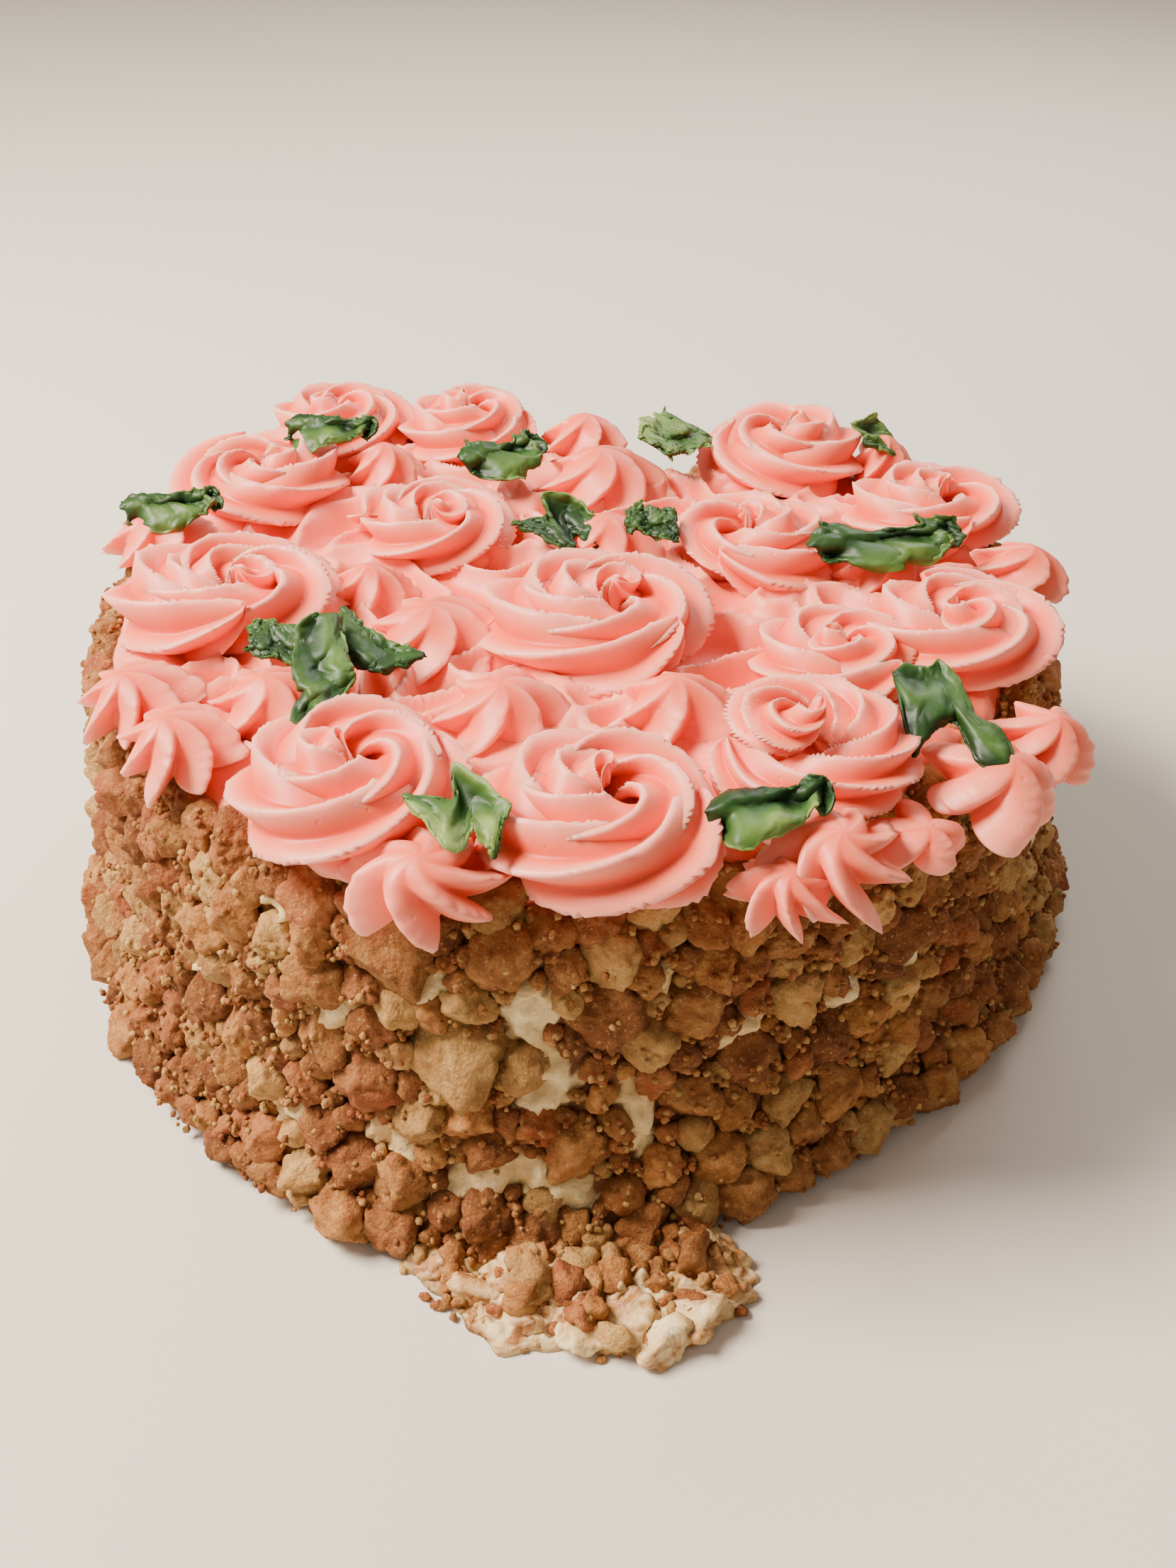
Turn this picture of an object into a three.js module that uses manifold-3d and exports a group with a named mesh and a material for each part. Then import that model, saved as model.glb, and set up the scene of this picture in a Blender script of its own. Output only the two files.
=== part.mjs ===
// A heart-shaped strawberry crunch cake, in millimetres, +Z up, its rounded tip towards -Y.
// A tall uncut cake stands on a flat base. Its whole wall is coated in baked biscuit crumbs, which
// spill into a low foot in front of the tip. Pink cream covers the top: piped rosettes, smaller
// piped drops that fill the gaps and hang over the rim, and ruffled leaves piped between them.

import * as THREE from "three";
import { mergeVertices } from "three/addons/utils/BufferGeometryUtils.js";
import Module from "manifold-3d";

const wasm = await Module();
wasm.setup();

// ---- Driving dimensions ----

// Heart outline that the wall and the bed are sized against: 255 wide and 237 long.
const HEART_SIDE_REACH = 116.6;
const HEART_FRONT_REACH = 99.6;
const HEART_LOBE_LIFT = 125.1;
const HEART_MIDDLE = 18.8; // half way between the tip and the backs of the lobes
const TIP_ROUNDING = 0.48; // 0 would be a sharp tip
const CLEFT_ROUNDING = 0.15; // 0 would be a sharp cleft
const TIP_BLUNTNESS = 0.478; // how far the widest part moves towards the tip

// Wall, from the spread foot to the drawn-in rim: [height, size against the outline].
const CAKE_HEIGHT = 86;
const WALL_SWELL = [
  [0, 1.05],
  [7, 1.075],
  [22, 1.02],
  [45, 0.985],
  [70, 0.98],
  [80, 0.965],
  [CAKE_HEIGHT, 0.925],
];
const WALL_CURVE_POINTS = 56; // on the smooth curve through them
const WALL_SECTORS = 90;
const WALL_ROWS = 11;
const WALL_SEED = 11;
const CRUMB_RELIEF = 3; // in or out of the wall
const CRUMB_STRAY = 1.7; // along the wall, so that the crumbs don't lie in rows

// The biggest crumbs, as lumps sunk in the wall.
const LUMPS = 56;
const LUMP_SEED = 23;
const LUMP_RADIUS = [6, 9.5];
const LUMP_STRETCH = [[0.8, 1.25], [0.7, 1.1], [0.75, 1.1]];
const LUMP_KNOCK = [0.88, 1.12]; // how far each corner is knocked in or out
const LUMP_REACH = 1.4; // most that a corner lies from the middle, in radii
const LUMP_SINK = 2.5; // of a lump's middle behind the wall
const LUMP_HEIGHTS = [8, 76];
const LUMP_LEVELS = 17; // times that their heights run through the range
const LUMP_STRAY = 0.2; // of the range, off that even climb
const GOLDEN_SHARE = 0.618034; // of the outline, from one lump to the next

// Smeared cream at the foot of the tip, a low mound with loose crumbs on it.
const MOUND_MIDDLE = [33, -119];
const MOUND_HALF_SIZE = [40, 22, 8];
const MOUND_SECTORS = 14;
const MOUND_BANDS = 7;
const MOUND_KNOCK = [0.86, 1.1];
const MOUND_SEED = 5;
const MOUND_LUMPS = 11;
const MOUND_LUMP_RADIUS = [5, 8];
const MOUND_LUMP_REACH = 0.85; // of the mound's half length, and of its depth towards the front
const MOUND_LUMP_BACK = 0.1;
const MOUND_LUMP_RISE = 0.6; // of a lump's middle above the table, in radii

// Flat bed of pink cream on the top, which shows between the piped pieces.
const BED_THICKNESS = 4;
const BED_SIZE = 0.9;
const BED_SECTORS = 84;
const BED_SCALLOPS = 21;
const BED_SCALLOP_DEPTH = 0.018;

// Rosettes: a swirl of cream whose ridge and groove wind out together from the middle.
const ROSETTE_SIDE = [[0, 0], [0.86, 0], [1, 0.3], [0.96, 0.62]]; // [share of radius, share of height]
const ROSETTE_SECTORS = 18;
const RIDGE_SPACING = 10;
const GROOVE_DEPTH = 4.2;
const GROOVE_FADE = 5; // over which a groove dies out at the middle and at the shoulder
const CROWN_SINK = 0.1; // the middle of the swirl lies this share of the height below the dome
const ROSETTE_FLUTES = 7; // ridges down the outside
const FLUTE_DEPTH = 0.035; // of the radius

// Piped drops: a six-finned star pulled up to a soft point.
const DROP_SIDE = [[0, 0], [0.9, 0], [1, 0.25], [0.5, 0.68], [0, 1]];
const DROP_FINS = 6;
const FIN_DEPTH = 0.24; // of the radius
const DROP_TWIST = 0.6; // radians, from the base to the point

// Leaves: thin ruffled strips of icing.
const LEAF_THICKNESS = 2.4;
const LEAF_STEPS = 5;
const LEAF_STRIPS = 2;
const LEAF_BELLY = [2.4, 0.7]; // powers that round its outline along its length
const LEAF_END_WIDTH = 0.16; // of its full width
const LEAF_FOLD = 2.5; // that its edges rise above its middle line, and its ends droop
const RUFFLE_DEPTH = 2.2;
const RUFFLE_TURN = [7, 2]; // radians of the ruffle's wave along and across half a leaf
const LEAF_SETTLE = 0.5; // step by which a leaf that would hang clear is lowered

const GAP = 0.3; // kept between touching pieces
const WELD = 1e-4;
const SLIVER = 0.06; // finest detail kept after cutting
const ROOM = 600; // wider than anything here
const BED_TOP = CAKE_HEIGHT + GAP + BED_THICKNESS;
const PIPING_BASE = BED_TOP + GAP;

const COLOURS = { crumb: 0xc98f52, bed: 0xf6a38c, rosette: 0xf7ae9a, drop: 0xf5a692, leaf: 0x3f7a38 };

// ---- Layout of the top: each place is the middle of the piece, in the heart's own frame ----

// hand is the sense in which the spiral runs outwards; long stretches the piece along lie (degrees).
const ROSETTES = [
  { name: "rosette_front_left", x: -19, y: -89, across: 51, high: 20, hand: 1 },
  { name: "rosette_front", x: 32, y: -87, across: 51, high: 20, hand: 1 },
  { name: "rosette_front_right", x: 72, y: -58, across: 43, high: 25, hand: -1 },
  { name: "rosette_left", x: -75, y: -25, across: 49, high: 19, hand: 1, long: 1.2, lie: 22 },
  { name: "rosette_middle", x: 15, y: -14, across: 55, high: 21, hand: 1 },
  { name: "rosette_left_inner", x: -39, y: 27, across: 45, high: 18, hand: 1 },
  { name: "rosette_left_outer", x: -92, y: 42, across: 49, high: 18, hand: -1 },
  { name: "rosette_back_left_outer", x: -84, y: 84, across: 42, high: 18, hand: 1 },
  { name: "rosette_back_left_inner", x: -46, y: 88, across: 43, high: 20, hand: 1 },
  { name: "rosette_back_right_inner", x: 46, y: 90, across: 47, high: 21, hand: -1 },
  { name: "rosette_back_right_outer", x: 89, y: 62, across: 46, high: 18, hand: 1 },
  { name: "rosette_right", x: 99, y: 4, across: 46, high: 18, hand: 1 },
  { name: "rosette_right_inner", x: 46, y: 34, across: 46, high: 18, hand: -1 },
  { name: "rosette_between", x: 71, y: -16, across: 38, high: 16, hand: 1 },
];

// lean tips a drop outwards over the rim, in degrees, and below is how far its base sits under the
// top of the bed.
const DROPS = [
  { name: "drop_left_rear", x: -79, y: -61, across: 28, high: 18, lean: 32, below: 4 },
  { name: "drop_left_front", x: -62, y: -77, across: 29, high: 19, lean: 32, below: 4 },
  { name: "drop_front", x: 2, y: -108, across: 28, high: 19, lean: 32, below: 4 },
  { name: "drop_front_right", x: 76, y: -84, across: 28, high: 18, lean: 30, below: 3 },
  { name: "drop_front_right_low", x: 71, y: -92, across: 25, high: 17, lean: 44, below: 6 },
  { name: "drop_right_petal", x: 92, y: -70, across: 21, high: 16, lean: 45, below: 8 },
  { name: "drop_right_front", x: 106, y: -53, across: 27, high: 18, lean: 32, below: 4 },
  { name: "drop_right_rear", x: 116, y: -35, across: 24, high: 17, lean: 32, below: 4 },
  { name: "drop_inner_left", x: -19, y: -25, across: 34, high: 14 },
  { name: "drop_inner_front", x: 3, y: -55, across: 28, high: 15 },
  { name: "drop_beside_left", x: -47, y: -62, across: 28, high: 14 },
  { name: "drop_beside_middle", x: 40, y: -45, across: 25, high: 15 },
  { name: "drop_cleft", x: 0, y: 62, across: 33, high: 17 },
  { name: "drop_middle_rear", x: 8, y: 29, across: 27, high: 14 },
  { name: "drop_left_gap", x: -61, y: 57, across: 21, high: 15 },
  { name: "drop_right_gap", x: 79, y: 30, across: 27, high: 14 },
  { name: "drop_left_lower", x: -44, y: -8, across: 20, high: 13 },
  { name: "drop_left_rim", x: -106, y: 8, across: 26, high: 13 },
  { name: "drop_left_back_rim", x: -12, y: 92, across: 22, high: 13 },
  { name: "drop_right_rim", x: 112, y: 36, across: 22, high: 13 },
  { name: "drop_right_lobe", x: 72, y: 93, across: 20, high: 14 },
];

// yaw turns the leaf's length from +X, slope lifts its far end; both in degrees.
const LEAVES = [
  { name: "leaf_front_left", x: 7, y: -103, z: 108, long: 25, wide: 16, yaw: -35, slope: -14 },
  { name: "leaf_front_right", x: 60, y: -88, z: 104, long: 32, wide: 15, yaw: 8, slope: 6 },
  { name: "leaf_right", x: 98, y: -46, z: 105, long: 35, wide: 15, yaw: -44, slope: -10 },
  { name: "leaf_cluster_long", x: -37, y: -56, z: 107, long: 34, wide: 16, yaw: 118, slope: 8 },
  { name: "leaf_cluster_side", x: -24, y: -46, z: 106, long: 24, wide: 14, yaw: 8, slope: 4 },
  { name: "leaf_cluster_low", x: -50, y: -48, z: 105, long: 20, wide: 13, yaw: 170, slope: -10 },
  { name: "leaf_middle_long", x: -3, y: 24, z: 108, long: 26, wide: 14, yaw: 150, slope: 6 },
  { name: "leaf_middle_short", x: 21, y: 25, z: 107, long: 16, wide: 10, yaw: 20, slope: 0 },
  { name: "leaf_left_rim", x: -103, y: 8, z: 106, long: 28, wide: 13, yaw: 200, slope: -12 },
  { name: "leaf_left_lobe", x: -77, y: 57, z: 108, long: 28, wide: 14, yaw: -14, slope: 2 },
  { name: "leaf_left_inner", x: -27, y: 56, z: 107, long: 27, wide: 13, yaw: 38, slope: 8 },
  { name: "leaf_cleft", x: 19, y: 80, z: 107, long: 24, wide: 13, yaw: 62, slope: 4 },
  { name: "leaf_right_lobe", x: 70, y: 92, z: 105, long: 22, wide: 12, yaw: 50, slope: -8 },
  { name: "leaf_right_long", x: 79, y: 25, z: 108, long: 40, wide: 15, yaw: 22, slope: 4 },
];

// ---- Solids ----

// Numbers from 0 to 1 that repeat on every run.
function seededDraw(seed) {
  let state = seed;
  return () => {
    state = (Math.imul(state, 1664525) + 1013904223) >>> 0;
    return state / 2 ** 32;
  };
}

const between = (low, high, share) => low + (high - low) * share;
const radians = THREE.MathUtils.degToRad;

// Joins a closed geometry's shared corners and moves each of them by `place`.
function shaped(geometry, place) {
  geometry.deleteAttribute("normal");
  geometry.deleteAttribute("uv");
  const welded = mergeVertices(geometry, WELD);
  const corners = welded.getAttribute("position");
  const corner = new THREE.Vector3();
  for (let i = 0; i < corners.count; i += 1) {
    place(corner.fromBufferAttribute(corners, i));
    corners.setXYZ(i, corner.x, corner.y, corner.z);
  }
  return welded;
}

// The closed geometry as a solid. A lathe's poles leave triangles with no area, which are dropped.
function solidOf(geometry) {
  const index = geometry.getIndex().array;
  const triangles = [];
  for (let i = 0; i < index.length; i += 3) {
    const [a, b, c] = index.slice(i, i + 3);
    if (a !== b && b !== c && c !== a) triangles.push(a, b, c);
  }
  return new wasm.Manifold(
    new wasm.Mesh({
      numProp: 3,
      vertProperties: Float32Array.from(geometry.getAttribute("position").array),
      triVerts: Uint32Array.from(triangles),
    }),
  );
}

function geometryOf(solid) {
  const { vertProperties, triVerts } = solid.getMesh();
  const geometry = new THREE.BufferGeometry();
  geometry.setAttribute("position", new THREE.BufferAttribute(vertProperties, 3));
  geometry.setIndex(new THREE.BufferAttribute(triVerts, 1));
  geometry.computeVertexNormals();
  return geometry;
}

// The largest part of a solid, without loose scraps or shut hollows, and with slivers smoothed away.
function tidied(solid) {
  const larger = (best, part) => (part.volume() > best.volume() ? part : best);
  return solid.decompose().reduce(larger).simplify(SLIVER);
}

// ---- Heart outline ----

// turn runs from 0 at the tip to pi at the cleft, and size grows the outline about its middle.
function heartPoint(turn, size) {
  const across = Math.sin(turn);
  const along = Math.cos(turn);
  const rounding = between(TIP_ROUNDING, CLEFT_ROUNDING, (1 - along) / 2);
  const lift = Math.hypot(across, rounding) - rounding;
  return new THREE.Vector2(
    size * HEART_SIDE_REACH * across * (1 + TIP_BLUNTNESS * along),
    size * (HEART_LOBE_LIFT * lift - HEART_FRONT_REACH * along - HEART_MIDDLE),
  );
}

class HeartOutline extends THREE.Curve {
  getPoint(share, target = new THREE.Vector2()) {
    return target.copy(heartPoint(2 * Math.PI * share, 1));
  }
}

// The turn that lies a given share of the way round the outline, measured along it.
const outline = new HeartOutline();
outline.arcLengthDivisions = 720;
const evenTurn = (share) => 2 * Math.PI * outline.getUtoTmapping(share);

// A cylinder bent to the heart: `sizeAt(height, turn)` gives the outline's size at each corner.
function heartPrism(sectors, rows, bottom, top, sizeAt) {
  const cylinder = new THREE.CylinderGeometry(1, 1, 1, sectors, rows).rotateX(Math.PI / 2);
  return shaped(cylinder, (corner) => {
    const share = Math.atan2(corner.x, -corner.y) / (2 * Math.PI);
    const turn = evenTurn((share + 1) % 1);
    const height = between(bottom, top, corner.z + 0.5);
    const rim = Math.round(Math.hypot(corner.x, corner.y));
    const point = heartPoint(turn, rim * sizeAt(height, turn));
    corner.set(point.x, point.y, height);
  });
}

const wallSteps = WALL_SWELL.map(([height, size]) => new THREE.Vector2(height, size));
const wallTable = new THREE.SplineCurve(wallSteps).getPoints(WALL_CURVE_POINTS);

function wallSize(height) {
  const after = Math.max(1, wallTable.findIndex((point) => point.x >= height));
  const [low, high] = [wallTable[after - 1], wallTable[after]];
  return between(low.y, high.y, (height - low.x) / (high.x - low.x));
}

// ---- Cake ----

function roughWall() {
  const draw = seededDraw(WALL_SEED);
  const smooth = heartPrism(WALL_SECTORS, WALL_ROWS, 0, CAKE_HEIGHT, wallSize);
  return shaped(smooth, (corner) => {
    const outwards = new THREE.Vector3(corner.x, corner.y, 0).normalize();
    const sideways = new THREE.Vector3(-outwards.y, outwards.x, 0);
    const [relief, stray, climb] = [draw(), draw(), draw()];
    const onWall = corner.z > WELD && corner.z < CAKE_HEIGHT - WELD;
    if (!onWall) return;
    corner.addScaledVector(outwards, between(-CRUMB_RELIEF, CRUMB_RELIEF, relief));
    corner.addScaledVector(sideways, between(-CRUMB_STRAY, CRUMB_STRAY, stray));
    corner.z += between(-CRUMB_STRAY, CRUMB_STRAY, climb);
  });
}

// One broken lump of biscuit: a rough twenty-sided stone.
function crumbLump(centre, radius, draw) {
  const stone = new THREE.IcosahedronGeometry(radius, 0);
  const stretch = new THREE.Vector3(...LUMP_STRETCH.map((range) => between(...range, draw())));
  const spin = new THREE.Euler(draw() * Math.PI, draw() * Math.PI, draw() * Math.PI);
  return shaped(stone, (corner) => {
    corner.multiply(stretch).multiplyScalar(between(...LUMP_KNOCK, draw()));
    corner.applyEuler(spin).add(centre);
  });
}

// Spreads the lumps evenly round the wall and up it, clear of the drops that hang over the rim.
function wallLumps() {
  const draw = seededDraw(LUMP_SEED);
  const hanging = DROPS.filter((drop) => drop.lean);
  const lumps = [];
  for (let i = 0; i < LUMPS; i += 1) {
    const turn = evenTurn((i * GOLDEN_SHARE) % 1);
    const height = between(...LUMP_HEIGHTS, ((i * LUMP_LEVELS) / LUMPS + LUMP_STRAY * draw()) % 1);
    const radius = between(...LUMP_RADIUS, draw());
    const rim = heartPoint(turn, wallSize(height));
    const sunk = rim.clone().setLength(rim.length() - LUMP_SINK);
    const centre = new THREE.Vector3(sunk.x, sunk.y, height);
    const clear = hanging.every((drop) => {
      const away = Math.hypot(drop.x - rim.x, drop.y - rim.y) - drop.across / 2 - radius;
      return away > 0 || height + radius * LUMP_REACH < BED_TOP - drop.below - drop.across / 2;
    });
    if (clear) lumps.push(crumbLump(centre, radius, draw));
  }
  return lumps;
}

function footMound() {
  const draw = seededDraw(MOUND_SEED);
  const middle = new THREE.Vector3(...MOUND_MIDDLE, 0);
  const halfSize = new THREE.Vector3(...MOUND_HALF_SIZE);
  const mound = shaped(new THREE.SphereGeometry(1, MOUND_SECTORS, MOUND_BANDS), (corner) => {
    corner.multiplyScalar(between(...MOUND_KNOCK, draw())).multiply(halfSize).add(middle);
  });
  const lumps = [mound];
  for (let i = 0; i < MOUND_LUMPS; i += 1) {
    const radius = between(...MOUND_LUMP_RADIUS, draw());
    const along = between(-MOUND_LUMP_REACH, MOUND_LUMP_REACH, (i + 0.5) / MOUND_LUMPS);
    const depth = between(-MOUND_LUMP_REACH, MOUND_LUMP_BACK, draw()) * Math.sqrt(1 - along ** 2);
    const centre = new THREE.Vector3(along, depth, 0).multiply(halfSize).add(middle);
    centre.z = radius * MOUND_LUMP_RISE;
    lumps.push(crumbLump(centre, radius, draw));
  }
  return lumps;
}

function cakeSolid() {
  const room = new THREE.BoxGeometry(ROOM, ROOM, ROOM).translate(0, 0, ROOM / 2);
  const aboveTable = solidOf(shaped(room, () => {}));
  return [...wallLumps(), ...footMound()]
    .map(solidOf)
    .reduce((cake, lump) => cake.add(lump), solidOf(roughWall()))
    .intersect(aboveTable);
}

// Everything that the cake may reach, which the hanging drops are cut back to.
function cakeReach() {
  const spare = (CRUMB_RELIEF + GAP) / HEART_FRONT_REACH;
  const size = (height) => wallSize(Math.max(0, height)) + spare;
  return solidOf(heartPrism(WALL_SECTORS, WALL_ROWS, -GAP, CAKE_HEIGHT + GAP, size));
}

// ---- Cream on the top ----

function bedSolid(grow = 0) {
  const spare = grow / HEART_FRONT_REACH;
  const size = (height, turn) => BED_SIZE + spare + BED_SCALLOP_DEPTH * Math.cos(BED_SCALLOPS * turn);
  return solidOf(heartPrism(BED_SECTORS, 1, CAKE_HEIGHT + GAP - grow, BED_TOP + grow, size));
}

// Spiral lines wind from the middle to the shoulder, a ridge and a groove in turn. Line k reaches
// line k + 2 after one turn, so that the last column of the lathe joins its first.
function rosetteSolid({ x, y, across, high, hand, long = 1, lie = 0 }, grow = 0) {
  const radius = across / 2 + grow;
  const shoulder = ROSETTE_SIDE.at(-1);
  const swirlRadius = radius * shoulder[0];
  const lineStep = RIDGE_SPACING / 2;
  const lines = Math.ceil(swirlRadius / lineStep);
  const rings = ROSETTE_SIDE.length + lines + 2;
  const blank = Array.from({ length: rings }, () => new THREE.Vector2());
  const lathe = new THREE.LatheGeometry(blank, ROSETTE_SECTORS);
  const corners = lathe.getAttribute("position");
  for (let column = 0; column <= ROSETTE_SECTORS; column += 1) {
    const share = column / ROSETTE_SECTORS;
    const angle = 2 * Math.PI * share;
    const flute = 1 + FLUTE_DEPTH * Math.cos(ROSETTE_FLUTES * angle);
    for (let ring = 0; ring < rings; ring += 1) {
      let [out, up] = ROSETTE_SIDE[ring] ?? shoulder;
      let sink = 0;
      const line = ROSETTE_SIDE.length + lines - 1 - ring;
      if (line < lines) {
        const wound = line + 2 * (hand > 0 ? share : 1 - share);
        const distance = THREE.MathUtils.clamp(wound * lineStep, 0, swirlRadius);
        const inside = distance / swirlRadius;
        const fade = Math.min(1, (swirlRadius - distance) / GROOVE_FADE, distance / GROOVE_FADE);
        out = distance / radius;
        up = between(shoulder[1], 1, Math.sqrt(1 - inside ** 2)) - CROWN_SINK * (1 - inside) ** 2;
        sink = line % 2 === 0 ? 0 : GROOVE_DEPTH * fade;
      }
      const reach = out * radius * flute;
      const height = up * high - sink + (ring < 2 ? -grow : grow);
      corners.setXYZ(column * rings + ring, reach * Math.sin(angle), -reach * Math.cos(angle), height);
    }
  }
  const lay = new THREE.Euler(0, 0, radians(lie));
  const place = new THREE.Vector3(x, y, PIPING_BASE);
  return solidOf(shaped(lathe, (corner) => {
    corner.x *= long;
    corner.applyEuler(lay).add(place);
  }));
}

function dropSolid({ x, y, across, high, lean = 0, below = 0 }, grow = 0) {
  const profile = DROP_SIDE.map(([out, up]) => new THREE.Vector2(
    (out * across) / 2 + (out > 0 ? grow : 0),
    up * high + (up > 0 ? grow : -grow),
  ));
  const lathe = new THREE.LatheGeometry(profile, DROP_FINS * 2).rotateX(Math.PI / 2);
  const leanAxis = new THREE.Vector3(-y, x, 0).normalize();
  const tip = new THREE.Quaternion().setFromAxisAngle(leanAxis, radians(lean));
  const place = new THREE.Vector3(x, y, PIPING_BASE - below);
  return solidOf(shaped(lathe, (corner) => {
    const fin = 1 + FIN_DEPTH * Math.cos(DROP_FINS * Math.atan2(corner.y, corner.x));
    const twist = new THREE.Euler(0, 0, (DROP_TWIST * corner.z) / high);
    corner.set(corner.x * fin, corner.y * fin, corner.z);
    corner.applyEuler(twist).applyQuaternion(tip).add(place);
  }));
}

// A sheet given thickness: its underside copies the top's triangles, and its border is closed.
function thickened(sheet, thickness) {
  const top = Array.from(sheet.getAttribute("position").array);
  const count = top.length / 3;
  const under = top.map((value, i) => (i % 3 === 2 ? value - thickness : value));
  const index = Array.from(sheet.getIndex().array);
  const edges = new Set();
  for (let i = 0; i < index.length; i += 3) {
    for (let k = 0; k < 3; k += 1) edges.add(`${index[i + k]},${index[i + (k + 1) % 3]}`);
  }
  const triangles = [...index];
  for (let i = 0; i < index.length; i += 3) {
    triangles.push(index[i + 2] + count, index[i + 1] + count, index[i] + count);
  }
  for (const edge of edges) {
    const [a, b] = edge.split(",").map(Number);
    if (!edges.has(`${b},${a}`)) triangles.push(b, a, a + count, b, a + count, b + count);
  }
  const solid = new THREE.BufferGeometry();
  solid.setAttribute("position", new THREE.Float32BufferAttribute([...top, ...under], 3));
  solid.setIndex(triangles);
  return solid;
}

function leafSolid({ x, y, z, long, wide, yaw, slope }, grow = 0) {
  const flat = new THREE.PlaneGeometry(2, 2, LEAF_STEPS, LEAF_STRIPS);
  const sheet = shaped(flat, (corner) => {
    const [along, across] = [corner.x, corner.y];
    const belly = (1 - Math.abs(along) ** LEAF_BELLY[0]) ** LEAF_BELLY[1];
    const wave = Math.sin(RUFFLE_TURN[0] * along + RUFFLE_TURN[1] * across);
    const height = RUFFLE_DEPTH * across ** 2 * wave + LEAF_FOLD * (Math.abs(across) - along ** 2);
    corner.x = along * (long / 2 + grow);
    corner.y = across * ((wide / 2) * Math.max(LEAF_END_WIDTH, belly) + grow);
    corner.z = height + grow;
  });
  const lay = new THREE.Euler(0, radians(-slope), radians(yaw), "ZYX");
  const place = new THREE.Vector3(x, y, z);
  return solidOf(shaped(thickened(sheet, LEAF_THICKNESS + 2 * grow), (corner) => {
    corner.applyEuler(lay).add(place);
  }));
}

// ---- Putting it together ----

const cake = new THREE.Group();
const keepOut = [cakeReach(), bedSolid(GAP)];

function addPiece(name, solid, colour, roughness) {
  const material = new THREE.MeshStandardMaterial({ color: colour, roughness, metalness: 0 });
  const mesh = new THREE.Mesh(geometryOf(solid), material);
  mesh.name = name;
  cake.add(mesh);
}

// A leaf's place, lowered until the leaf meets what is already there.
function settled(place) {
  const pile = keepOut.reduce((all, taken) => all.add(taken));
  let z = place.z;
  while (leafSolid({ ...place, z }).intersect(pile).isEmpty()) z -= LEAF_SETTLE;
  return { ...place, z };
}

// Cuts a piece back from all that is already in place, then keeps its own room clear.
function addCleared(place, build, colour, roughness) {
  const cleared = keepOut.reduce((solid, taken) => solid.subtract(taken), build(place));
  addPiece(place.name, tidied(cleared), colour, roughness);
  keepOut.push(build(place, GAP));
}

addPiece("cake", tidied(cakeSolid()), COLOURS.crumb, 0.9);
addPiece("icing_bed", bedSolid(), COLOURS.bed, 0.55);
for (const place of ROSETTES) addCleared(place, rosetteSolid, COLOURS.rosette, 0.5);
for (const place of DROPS) addCleared(place, dropSolid, COLOURS.drop, 0.5);
for (const place of LEAVES) addCleared(settled(place), leafSolid, COLOURS.leaf, 0.4);

// The origin is under the middle of the whole cake, foot included.
const reach = new THREE.Box3().setFromObject(cake);
const middle = reach.getCenter(new THREE.Vector3());
cake.position.set(-middle.x, -middle.y, -reach.min.z);
cake.updateMatrixWorld(true);

export default cake;
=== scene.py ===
import math
import random

import bmesh
import bpy
import numpy as np
from mathutils import Euler, Matrix, Vector, kdtree, noise


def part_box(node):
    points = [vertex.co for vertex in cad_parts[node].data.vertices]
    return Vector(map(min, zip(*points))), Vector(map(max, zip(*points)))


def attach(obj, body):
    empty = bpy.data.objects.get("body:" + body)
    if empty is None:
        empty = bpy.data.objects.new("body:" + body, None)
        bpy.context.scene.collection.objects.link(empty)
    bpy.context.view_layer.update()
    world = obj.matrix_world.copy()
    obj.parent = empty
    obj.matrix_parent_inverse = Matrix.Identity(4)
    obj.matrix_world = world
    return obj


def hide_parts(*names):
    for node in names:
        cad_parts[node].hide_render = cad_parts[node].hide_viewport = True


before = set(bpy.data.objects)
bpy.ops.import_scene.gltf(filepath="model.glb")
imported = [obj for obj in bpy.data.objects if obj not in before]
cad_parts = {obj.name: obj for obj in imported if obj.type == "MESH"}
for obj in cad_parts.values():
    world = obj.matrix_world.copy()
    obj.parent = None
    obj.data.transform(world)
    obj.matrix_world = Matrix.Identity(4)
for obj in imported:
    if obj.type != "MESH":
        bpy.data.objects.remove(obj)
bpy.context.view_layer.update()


# ---- Sponge and cream coat ----
# The cake itself: a tall heart of sponge under a coat of pale whipped cream. The cream shows only in
# smears between the crumbs that are pressed into it.

SIDE_REACH = 0.1166          # the heart outline, which every other width is sized against
FRONT_REACH = 0.0996
LOBE_LIFT = 0.1251
OUTLINE_SHIFT = 0.0188
TIP_ROUNDING = 0.48
CLEFT_ROUNDING = 0.15
TIP_BLUNTNESS = 0.478
WALL = [(0, 1.05), (0.007, 1.075), (0.022, 1.02), (0.045, 0.985), (0.07, 0.98), (0.08, 0.962),
        (0.086, 0.93), (0.0885, 0.885)]     # height, size against the outline
SPREAD = 0.1                 # mean reach of the outline, for lengths up the wall
OUTLINE_STEPS = 1080
SLOPE_REACH = (0.002, 0.003)     # metres round and up the wall over which its slope is read
COAT_SINK = 0.0042           # of the cream behind the crumbs' faces
COAT_COLUMNS = 620
COAT_ROWS = 80

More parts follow.
